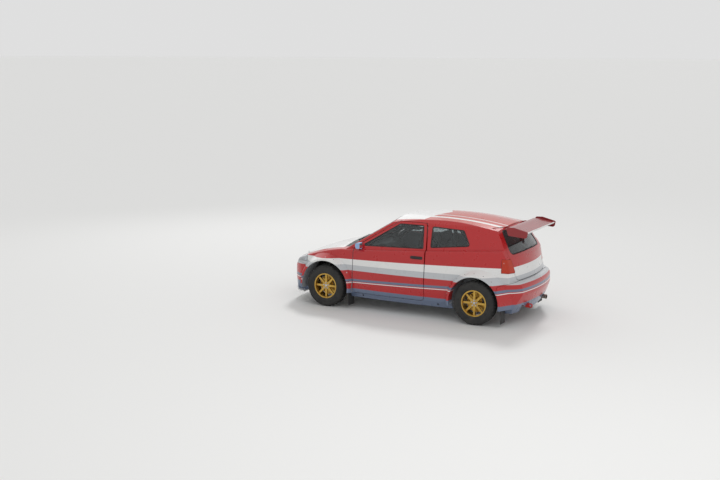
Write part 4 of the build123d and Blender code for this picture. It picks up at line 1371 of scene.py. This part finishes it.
def pad_mesh(line, half_width, channels, middle_y):
    """A stuffed pad over a line: filled between its stitches, closed underneath."""
    bm = bmesh.new()
    top, low = [], []
    for i in range(PAD_ALONG + 1):
        s = i / PAD_ALONG
        place, out = smooth_line(line, s)
        if out.x < 0 and out.z < 0:
            out = -out
        row_top, row_low = [], []
        for j in range(PAD_ACROSS + 1):
            u = 2 * j / PAD_ACROSS - 1
            fill = bulge(u, 8) * bulge(2 * s - 1, 14)
            stitch = sum(math.exp(-(((s - c) / 0.012) ** 2)) for c in channels)
            stitched = min(1.0, stitch) * (abs(u) < SEAM_AT)
            seam = math.exp(-(((abs(u) - SEAM_AT) / 0.025) ** 2))
            crown = 1.0 - 0.10 * (1 - min(1.0, abs(u) / SEAM_AT)) ** 2
            height = PAD_DEPTH * fill * (crown - 0.17 * stitched - 0.15 * seam)
            spot = place + Vector((0, middle_y + u * half_width, 0))
            row_top.append(bm.verts.new(spot + out * (height + 0.001)))
            row_low.append(bm.verts.new(spot - out * 0.001))
        top.append(row_top)
        low.append(row_low)
    for rows in (top, low):
        for a, b in zip(rows, rows[1:]):
            for j in range(PAD_ACROSS):
                bm.faces.new((a[j], a[j + 1], b[j + 1], b[j]))
    rim_top, rim_low = rim_of(top), rim_of(low)
    for i in range(len(rim_top)):
        j = (i + 1) % len(rim_top)
        bm.faces.new((rim_top[i], rim_top[j], rim_low[j], rim_low[i]))
    return bm


print("points on a pad", 2 * (PAD_ALONG + 1) * (PAD_ACROSS + 1))

# %% [markdown]
# The seat itself is a hard shell: a slab cut to the seat's side profile between two wing slabs, as in
# the CAD model, on two rails. The bolsters are padded slabs on the wings' inner faces. All of them
# are outlines seen from the side, given thickness across the car.

# %% Seats
SEAT_Y = 0.365
SEAT_HALF = 0.205
SHELL_OUTLINE = [
    # forward, up, rounding: the shell's line under the pads, then its back
    (0.252, 0.362, 0.006), (-0.052, 0.332, 0.060), (-0.222, 0.900, 0.200), (-0.262, 1.128, 0.012),
    (-0.300, 1.128, 0.018), (-0.262, 0.780, 0.060), (-0.150, 0.290, 0.060), (0.255, 0.331, 0.018),
]
WING_OUTLINE = [
    (0.240, 0.300, 0.04), (0.230, 0.470, 0.05), (0.020, 0.500, 0.12),
    (-0.060, 0.900, 0.06), (-0.230, 0.960, 0.06), (-0.150, 0.290, 0.06),
]
BOLSTER_OUTLINE = [
    (0.214, 0.400, 0.03), (0.206, 0.452, 0.03), (0.006, 0.486, 0.12),
    (-0.078, 0.880, 0.05), (-0.196, 0.900, 0.04), (-0.060, 0.400, 0.08),
]
RAIL_OUTLINE = [
    (-0.110, 0.220, 0.004), (0.200, 0.220, 0.004), (0.200, 0.246, 0.010), (0.160, 0.262, 0.01),
    (0.150, 0.332, 0.008), (0.090, 0.332, 0.008), (0.070, 0.270, 0.02), (-0.010, 0.270, 0.02),
    (-0.030, 0.332, 0.008), (-0.090, 0.332, 0.008), (-0.100, 0.262, 0.01),
]
HARD_SLABS = (
    # outline, near face from the seat's middle, thickness, edge
    (SHELL_OUTLINE, -SEAT_HALF, 2 * SEAT_HALF, 0.006),
    (WING_OUTLINE, -0.262, 0.020, 0.006), (WING_OUTLINE, 0.242, 0.020, 0.006),
    (RAIL_OUTLINE, -0.200, 0.040, 0.003), (RAIL_OUTLINE, 0.160, 0.040, 0.003),
)
BOLSTERS = (("inner", -0.243), ("outer", 0.204))


def side_slab(bm, outline, y, thickness, edge):
    """A slab whose outline is seen from the side, starting at y and growing to the left."""
    at = Matrix(((1, 0, 0, 0), (0, 0, 1, y), (0, 1, 0, 0), (0, 0, 0, 1)))
    slab(bm, rounded(outline), at, thickness, edge)


def soft_piece(name, bm):
    """A piece of padded cloth."""
    pad = make_piece(name, bm, "seat_cloth", "body")


def build_seat(side, label):
    y = side * SEAT_Y
    bm = bmesh.new()
    for outline, low, thickness, edge in HARD_SLABS:
        side_slab(bm, outline, y + low, thickness, edge)
    make_piece("seat_shell_" + label, bm, "black_plastic", "body", ["seat_" + label])
    for name, line, half_width, channels in PADS:
        soft_piece("seat_" + name + "_pad_" + label, pad_mesh(line, half_width, channels, y))
    for name, low in BOLSTERS:
        bm = bmesh.new()
        side_slab(bm, BOLSTER_OUTLINE, y + low, 0.039, 0.015)
        soft_piece("seat_" + name + "_bolster_" + label, bm)


build_seat(1, "left")
build_seat(-1, "right")
print("pads and bolsters on a seat", len(PADS) + len(BOLSTERS))

# %% [markdown]
# Each seat has a harness of two shoulder straps, two lap straps and one strap between the legs, all
# meeting at one round buckle. A strap is a thin band, so it is swept along a path that runs a little
# above the pads. Because it carries no load here, it can be shaped directly.

# %% Harness
STRAP_SECTION = [
    (-0.023, 0.0), (-0.0235, 0.0012), (-0.022, 0.0024), (0.022, 0.0024), (0.0235, 0.0012), (0.023, 0.0),
]
SIDE_STRAPS = (
    # line as forward, out from the seat's middle and up, then the way the flat face looks
    (((-0.330, 0.10, 0.930), (-0.262, 0.098, 0.966), (-0.196, 0.095, 0.962), (-0.140, 0.09, 0.880),
      (-0.093, 0.080, 0.720), (-0.045, 0.060, 0.560), (-0.020, 0.030, 0.476)), (0.9, 0, 0.4)),
    (((-0.085, 0.196, 0.420), (-0.050, 0.150, 0.432), (-0.030, 0.085, 0.444), (-0.020, 0.028, 0.451)),
     (0.5, 0, 0.87)),
)
LEG_STRAP = ((0.110, 0.402), (0.060, 0.412), (0.020, 0.430), (-0.004, 0.446))
BUCKLE_X, BUCKLE_Z = -0.020, 0.452


def curve_through(points, steps=10):
    """A smooth path through points."""
    out = []
    for i in range(len(points) - 1):
        p0 = points[max(i - 1, 0)]
        p1, p2 = points[i], points[i + 1]
        p3 = points[min(i + 2, len(points) - 1)]
        for k in range(steps):
            t = k / steps
            square = (p0 * 2.0 - p1 * 5.0 + p2 * 4.0 - p3) * t**2
            cube = (p1 * 3.0 - p0 - p2 * 3.0 + p3) * t**3
            out.append((p1 * 2.0 + (p2 - p0) * t + square + cube) * 0.5)
    out.append(points[-1])
    return out


def strap(bm, points, outward):
    """A band along a path, its flat face turned outward."""
    path = curve_through([Vector(p) for p in points])
    sweep(bm, path, [Vector(outward)] * len(path), STRAP_SECTION, closed=False)


def build_harness(side, label):
    y = side * SEAT_Y
    bm = bmesh.new()
    for s in (-1, 1):
        for line, outward in SIDE_STRAPS:
            strap(bm, [(x, y + s * out, z) for x, out, z in line], outward)
    strap(bm, [(x, y, z) for x, z in LEG_STRAP], (0.25, 0, 0.95))
    make_piece("harness_" + label, bm, "strap_web", "body")
    bm = bmesh.new()
    at = axis_frame((BUCKLE_X, y, BUCKLE_Z), (0.55, 0, 0.83))
    button(bm, at, 0.031, 0.016, 0.005, 48)
    button(bm, at @ Matrix.Translation((0, 0, 0.0155)), 0.020, 0.006, 0.003, 40)
    return make_piece("buckle_" + label, bm, "bright_steel", "body")


print("buckles", [build_harness(*row).name for row in ((1, "left"), (-1, "right"))])

# %% [markdown]
# The dials are read at arm's length, so each has a rim, a face, marks and a pointer. The marks are
# one small slab, turned step by step about the dial's axis. Below them, between the seats, a panel
# carries a row of rocker switches and three knobs.

# %% Dials and switches
DIAL_FACE = Vector((-0.9285, 0.0, -0.3714))
DIALS = ((0.425, 0.834, 0.034), (0.335, 0.834, 0.027), (0.275, 0.820, 0.016))
DIAL_RIM = ((0.0, 0.0), (0.004, 0.0), (0.004, 0.008), (0.002, 0.0095), (0.0, 0.008))
MARKS = 11
MARK_FROM, MARK_STEP = 225, 27
SWITCHES = 8
SWITCH_PITCH = 0.026


def build_dials():
    rings, faces, marks = bmesh.new(), bmesh.new(), bmesh.new()
    for y, z, r in DIALS:
        place, _ = surface_hit("dashboard", (-0.5, y, z), (1, 0, 0))
        at = axis_frame(place - DIAL_FACE * 0.002, DIAL_FACE)
        lathe(rings, [(r + out, height) for out, height in DIAL_RIM], at, 48)
        button(faces, at, r - 0.0005, 0.0045, 0.001, 48)
        for i in range(MARKS):
            turn = Matrix.Rotation(math.radians(MARK_FROM - MARK_STEP * i), 4, "Z")
            spot = at @ turn @ Matrix.Translation((r * 0.83, 0, 0.0046))
            slab(marks, oblong(r * 0.09, 0.0007), spot, 0.0006, 0.0001)
        pointer = at @ Matrix.Rotation(math.radians(205), 4, "Z") @ Matrix.Translation((0, 0, 0.0048))
        outline = [(-0.004, -0.0012), (r * 0.7, -0.0004), (r * 0.7, 0.0004), (-0.004, 0.0012)]
        slab(marks, rounded(outline), pointer, 0.0012, 0.0001)
    make_piece("dial_rings", rings, "bright_steel", "body")
    make_piece("dial_faces", faces, "dial_face", "body")
    make_piece("dial_marks", marks, "plate_white", "body")
    return len(DIALS)


def build_switches():
    """A panel of rocker switches and three knobs on the dashboard's upright face."""
    bm, knobs = bmesh.new(), bmesh.new()
    place, normal = surface_hit("dashboard", (-0.5, 0.0, 0.720), (1, 0, 0))
    at = Matrix.Translation(place) @ surface_turn(normal)
    slab(bm, oblong(0.120, 0.055, 0.012), at @ Matrix.Translation((0, 0, -0.002)), 0.006, 0.0015)
    rocker = oblong(0.008, 0.014, 0.002)
    for i in range(SWITCHES):
        x = (i - (SWITCHES - 1) / 2) * SWITCH_PITCH
        tilt = Matrix.Rotation(math.radians(10 if i % 3 else -10), 4, "X")
        slab(knobs, rocker, at @ Matrix.Translation((x, 0.022, 0.0045)) @ tilt, 0.006, 0.0012)
    for x in (-0.070, 0.0, 0.070):
        button(knobs, at @ Matrix.Translation((x, -0.024, 0.003)), 0.012, 0.014, 0.003, 24)
    make_piece("switch_panel", bm, "dial_face", "body")
    return make_piece("switches", knobs, "bright_steel", "body")


print("dials", build_dials(), "and", build_switches().name)

# %% [markdown]
# The steering wheel gets suede grips on its rim, and a bolted plate with a button on its boss. They
# are built in the wheel's own tilted frame and ride on the wheel, so they turn with it.

# %% Steering wheel fittings
WHEEL_CENTRE = Vector((0.430, 0.370, 0.800))
WHEEL_AXIS = Vector((-math.cos(math.radians(22)), 0.0, math.sin(math.radians(22))))
GRIP_ARCS = ((-50, 50), (130, 230))
RIM_R = 0.172
GRIP_HALF = (0.0163, 0.0148)
BOSS_BOLTS = 6


def build_wheel_fittings():
    turn = WHEEL_AXIS.to_track_quat("Z", "Y").to_matrix().to_4x4()
    frame_matrix = Matrix.Translation(WHEEL_CENTRE) @ turn
    grips = bmesh.new()
    for low, high in GRIP_ARCS:
        path, normals = [], []
        for i in range(41):
            a = math.radians(low + (high - low) * i / 40)
            path.append(frame_matrix @ Vector((RIM_R * math.cos(a), RIM_R * math.sin(a), 0.0)))
            normals.append(WHEEL_AXIS)
        section = []
        for k in range(16):
            b = math.tau * k / 16
            section.append((GRIP_HALF[0] * math.cos(b), GRIP_HALF[1] * math.sin(b)))
        sweep(grips, path, normals, section, closed=False)
    make_piece("wheel_grips", grips, "wheel_rubber", "steering_wheel")
    plate = bmesh.new()
    button(plate, frame_matrix, 0.035, 0.005, 0.0015, 48)
    button(plate, frame_matrix @ Matrix.Translation((0, 0, 0.0045)), 0.016, 0.007, 0.003, 32)
    make_piece("wheel_boss_plate", plate, "black_plastic", "steering_wheel")
    spots = [(frame_matrix @ p, WHEEL_AXIS) for p in circle(0.027, BOSS_BOLTS, 0.0048)]
    head, washer = (0.003, 0.002), (0.0042, 0.0006)
    return fasteners("wheel_boss_bolts", spots, "steering_wheel", head=head, washer=washer)


print("made", build_wheel_fittings().name)

# %% [markdown]
# Foam sleeves on the cage protect the heads, so they sit on the hoops beside and above the seats. The
# pedals have ribs against wet soles, and a folded boot closes the gear lever's foot.

# %% Cage foam, pedal ribs and lever boot
CAGE_TUBE_R = 0.0192
FOAM_CUT = 0.004
PEDALS = (0.290, 0.370, 0.450)
PEDAL_FACE_X = 0.7252
PEDAL_RIBS = 5
BOOT_SECTION = [
    # radius, height above the tunnel
    (0.060, 0.0), (0.062, 0.004), (0.050, 0.014), (0.052, 0.020), (0.040, 0.030), (0.042, 0.036),
    (0.028, 0.050), (0.030, 0.056), (0.012, 0.072), (0.0095, 0.072), (0.0095, 0.0),
]


def foam_tube(bm, start, end, radius):
    """Foam round a cage tube, with cut ends."""
    start, end = Vector(start), Vector(end)
    at = axis_frame(start, end - start)
    length = (end - start).length
    section = [(CAGE_TUBE_R, 0.0), (radius - FOAM_CUT, 0.0), (radius, FOAM_CUT)]
    section += [(radius, length - FOAM_CUT), (radius - FOAM_CUT, length), (CAGE_TUBE_R, length)]
    lathe(bm, section, at, 28)


def build_cage_foam():
    bm = bmesh.new()
    for s in (-1, 1):
        foam_tube(bm, (-0.330, s * 0.672, 0.955), (-0.330, s * 0.562, 1.260), 0.031)
        foam_tube(bm, (-0.255, s * 0.5363, 1.3008), (0.060, s * 0.5206, 1.2915), 0.029)
    pad = make_piece("cage_foam", bm, "seat_cloth", "body")
    return pad


def build_pedal_pads():
    bm = bmesh.new()
    for y in PEDALS:
        for i in range(PEDAL_RIBS):
            place = Matrix.Translation((PEDAL_FACE_X, y, 0.300 + i * 0.0135))
            at = place @ surface_turn(Vector((-1, 0, 0)))
            slab(bm, oblong(0.025, 0.004, 0.002), at, 0.0035, 0.001)
    make_piece("pedal_ribs", bm, "bright_steel", "body")
    bm = bmesh.new()
    lathe(bm, BOOT_SECTION, axis_frame((0.330, 0.040, 0.220), (0, 0, 1)), 48)
    return make_piece("lever_boot", bm, "seal_rubber", "body")


print("made", build_cage_foam().name, build_pedal_pads().name)

# %% [markdown]
# The spare wheel lies flat in the boot. It is the same tyre again, laid on its side about its own
# axis, over a dished steel disc with round holes, so it keeps the CAD solid's ring.

# %% Spare wheel
SPARE_PLACE = Vector((-1.390, 0.0, 0.432))
SPARE_HALF = 0.070
TYRE_HALF = 0.0935
DISC_SECTION = [
    # radius, height over the wheel's middle: out along the top, then back underneath
    (0.061, 0.030), (0.110, 0.034), (0.150, 0.052), (0.176, 0.050), (0.186, 0.062), (0.197, 0.064),
    (0.197, -0.060), (0.190, -0.060), (0.186, 0.044), (0.176, 0.040), (0.150, 0.040), (0.110, 0.022),
    (0.061, 0.018),
]
HOLLOWS = 8
HOLLOW_SECTION = [(0.012, 0.0), (0.016, 0.0), (0.016, 0.010), (0.0145, 0.0115), (0.012, 0.010)]


def build_spare():
    mesh = tyre_pattern.copy()
    squeeze = Matrix.Diagonal((1.0, SPARE_HALF / TYRE_HALF, 1.0, 1.0))
    mesh.transform(Matrix.Translation(SPARE_PLACE) @ Matrix.Rotation(math.pi / 2, 4, "X") @ squeeze)
    place_mesh("spare_tyre", mesh, "tyre_rubber", "body", ["spare_wheel"])
    at = axis_frame(SPARE_PLACE, (0, 0, 1))
    bm = bmesh.new()
    lathe(bm, DISC_SECTION, at, 96)
    for p in circle(0.130, HOLLOWS, 0.036):
        lathe(bm, HOLLOW_SECTION, at @ Matrix.Translation(p), 24)
    make_piece("spare_disc", bm, "gold_rim", "body")
    bm = bmesh.new()
    button(bm, at @ Matrix.Translation((0, 0, 0.028)), 0.070, 0.010, 0.003, 48)
    button(bm, at @ Matrix.Translation((0, 0, 0.036)), 0.022, 0.020, 0.006, 6)
    return make_piece("spare_clamp", bm, "bright_steel", "body")


print("made", build_spare().name)

# %% [markdown]
# Under the bonnet the CAD model keeps the engine as one block. What a mechanic sees first on top of
# it is a ribbed cam cover with its bolts and filler cap. The cover is a slab with a generous edge, as
# a casting has, and its ribs are one small slab repeated.

# %% Cam cover
COVER_X, COVER_TOP = 1.365, 0.740
COVER_OUTLINE = [(-0.085, -0.210, 0.03), (0.085, -0.210, 0.03), (0.085, 0.240, 0.03), (-0.085, 0.240, 0.03)]
COVER_RIBS = 9
CAP_Y = 0.195
BOLTS_A_SIDE = 5


def build_cam_cover():
    bm = bmesh.new()
    slab(bm, rounded(COVER_OUTLINE), Matrix.Translation((COVER_X, 0, COVER_TOP - 0.002)), 0.044, 0.012)
    rib = oblong(0.052, 0.003, 0.002)
    for i in range(COVER_RIBS):
        slab(bm, rib, Matrix.Translation((COVER_X, -0.155 + i * 0.034, COVER_TOP + 0.040)), 0.007, 0.002)
    make_piece("cam_cover", bm, "engine_alloy", "body")
    bm = bmesh.new()
    button(bm, Matrix.Translation((COVER_X, CAP_Y, COVER_TOP + 0.041)), 0.024, 0.016, 0.004, 12)
    button(bm, Matrix.Translation((COVER_X, CAP_Y, COVER_TOP + 0.056)), 0.012, 0.008, 0.003, 24)
    make_piece("oil_cap", bm, "black_plastic", "body")
    spots = []
    for x in (-0.074, 0.074):
        for i in range(BOLTS_A_SIDE):
            place = Vector((COVER_X + x, -0.185 + i * 0.100, COVER_TOP + 0.0415))
            spots.append((place, Vector((0, 0, 1))))
    return fasteners("cam_cover_bolts", spots, "body", head=(0.005, 0.006), washer=(0.0085, 0.0015))


print("made", build_cam_cover().name)

# %% [markdown]
# Four intake runners curve from the engine down into a plenum, an air hose leads forward from it, and
# two coolant hoses run to the radiator. Such pipes are bent from straight tube, so each is a sweep of
# a circle along a smooth path.

# %% Intake and hoses
HOSE_R = 0.017
RUNNER_PATH = ((1.262, 0.700), (1.200, 0.722), (1.140, 0.700), (1.110, 0.640))
RUNNER_R = 0.019
PLENUM_PATH = [(1.105, -0.210, 0.625), (1.105, -0.050, 0.625), (1.105, 0.100, 0.625), (1.105, 0.215, 0.625)]
HOSES = (
    # radius, then the places it runs through
    (0.032, (1.105, 0.205, 0.625), (1.105, 0.300, 0.640), (1.180, 0.350, 0.640), (1.330, 0.368, 0.620),
     (1.500, 0.350, 0.590)),
    (HOSE_R, (1.470, 0.180, 0.610), (1.560, 0.190, 0.640), (1.640, 0.215, 0.610), (1.705, 0.225, 0.570)),
    (HOSE_R, (1.510, -0.200, 0.420), (1.580, -0.215, 0.400), (1.640, -0.225, 0.370), (1.705, -0.230, 0.350)),
)


def pipe(bm, points, radius):
    """A bent pipe through points."""
    path = curve_through([Vector(p) for p in points], 8)
    normals = []
    for i in range(len(path)):
        run = (path[min(i + 1, len(path) - 1)] - path[max(i - 1, 0)]).normalized()
        normals.append(Vector((0, 0, 1)) if abs(run.z) < 0.95 else Vector((1, 0, 0)))
    sweep(bm, path, normals, circle(radius, 16), closed=False)


def build_intake():
    bm = bmesh.new()
    for i in range(4):
        y = -0.150 + i * 0.100
        pipe(bm, [(x, y, z) for x, z in RUNNER_PATH], RUNNER_R)
    pipe(bm, PLENUM_PATH, 0.040)
    make_piece("intake_runners", bm, "engine_alloy", "body")
    bm = bmesh.new()
    for radius, *points in HOSES:
        pipe(bm, points, radius)
    return make_piece("hoses", bm, "seal_rubber", "body")


print("made", build_intake().name)

# %% [markdown]
# A brace ties the two strut towers together, so that the body doesn't flex between them. It is a pipe
# with a ring and an arm at each tower. The battery stands on the right front rail. It is two slabs,
# with six caps, two posts and a clamp bar on its lid.

# %% Tower brace and battery
TOWER_X, TOWER_Y = 1.200, 0.650
BRACE_PATH = [(1.200, -0.560, 0.835), (1.190, -0.300, 0.848), (1.190, 0.300, 0.848), (1.200, 0.560, 0.835)]
BRACE_RING = [(0.050, 0.0), (0.088, 0.0), (0.088, 0.004), (0.085, 0.005), (0.050, 0.005)]
BRACE_ARM = [(-0.022, -0.100, 0.01), (0.022, -0.100, 0.01), (0.022, -0.040, 0.01), (-0.022, -0.040, 0.01)]
TOWER_NUT_R = 0.070
BATTERY_PLACE = (1.605, -0.385, 0.488)
LID_TOP = 0.1455


def build_brace():
    bm = bmesh.new()
    pipe(bm, BRACE_PATH, 0.013)
    for s in (-1, 1):
        foot = Matrix.Translation((TOWER_X, s * TOWER_Y, 0.8125))
        lathe(bm, BRACE_RING, foot, 40)
        turn = foot if s > 0 else foot @ Matrix.Rotation(math.pi, 4, "Z")
        slab(bm, rounded(BRACE_ARM), turn @ Matrix.Translation((0, 0, 0.003)), 0.018, 0.004)
    make_piece("strut_brace", bm, "bright_steel", "body")
    spots = []
    for s in (-1, 1):
        for k in range(3):
            a = math.tau * (k + 0.25) / 3
            x = TOWER_X + TOWER_NUT_R * math.cos(a)
            y = s * TOWER_Y + TOWER_NUT_R * math.sin(a)
            spots.append((Vector((x, y, 0.8165)), Vector((0, 0, 1))))
    return fasteners("tower_nuts", spots, "body", head=(0.007, 0.007), washer=(0.011, 0.0015))


def build_battery():
    bm = bmesh.new()
    at = Matrix.Translation(BATTERY_PLACE)
    slab(bm, oblong(0.085, 0.060, 0.006), at, 0.140, 0.004)
    slab(bm, oblong(0.086, 0.061, 0.006), at @ Matrix.Translation((0, 0, 0.128)), 0.018, 0.003)
    for k in range(6):
        cap = at @ Matrix.Translation((-0.060 + 0.024 * k, 0.030, LID_TOP))
        button(bm, cap, 0.008, 0.003, 0.001, 16)
    make_piece("battery", bm, "black_plastic", "body")
    bm = bmesh.new()
    for x in (-0.062, 0.062):
        button(bm, at @ Matrix.Translation((x, -0.028, LID_TOP)), 0.009, 0.016, 0.002, 20)
    slab(bm, oblong(0.012, 0.075, 0.004), at @ Matrix.Translation((0, 0, LID_TOP)), 0.004, 0.001)
    return make_piece("battery_posts", bm, "bright_steel", "body")


print("made", build_brace().name, build_battery().name)

# %% [markdown]
# Last, the scene is brought up to date once more.

# %% Update the scene
bpy.context.view_layer.update()
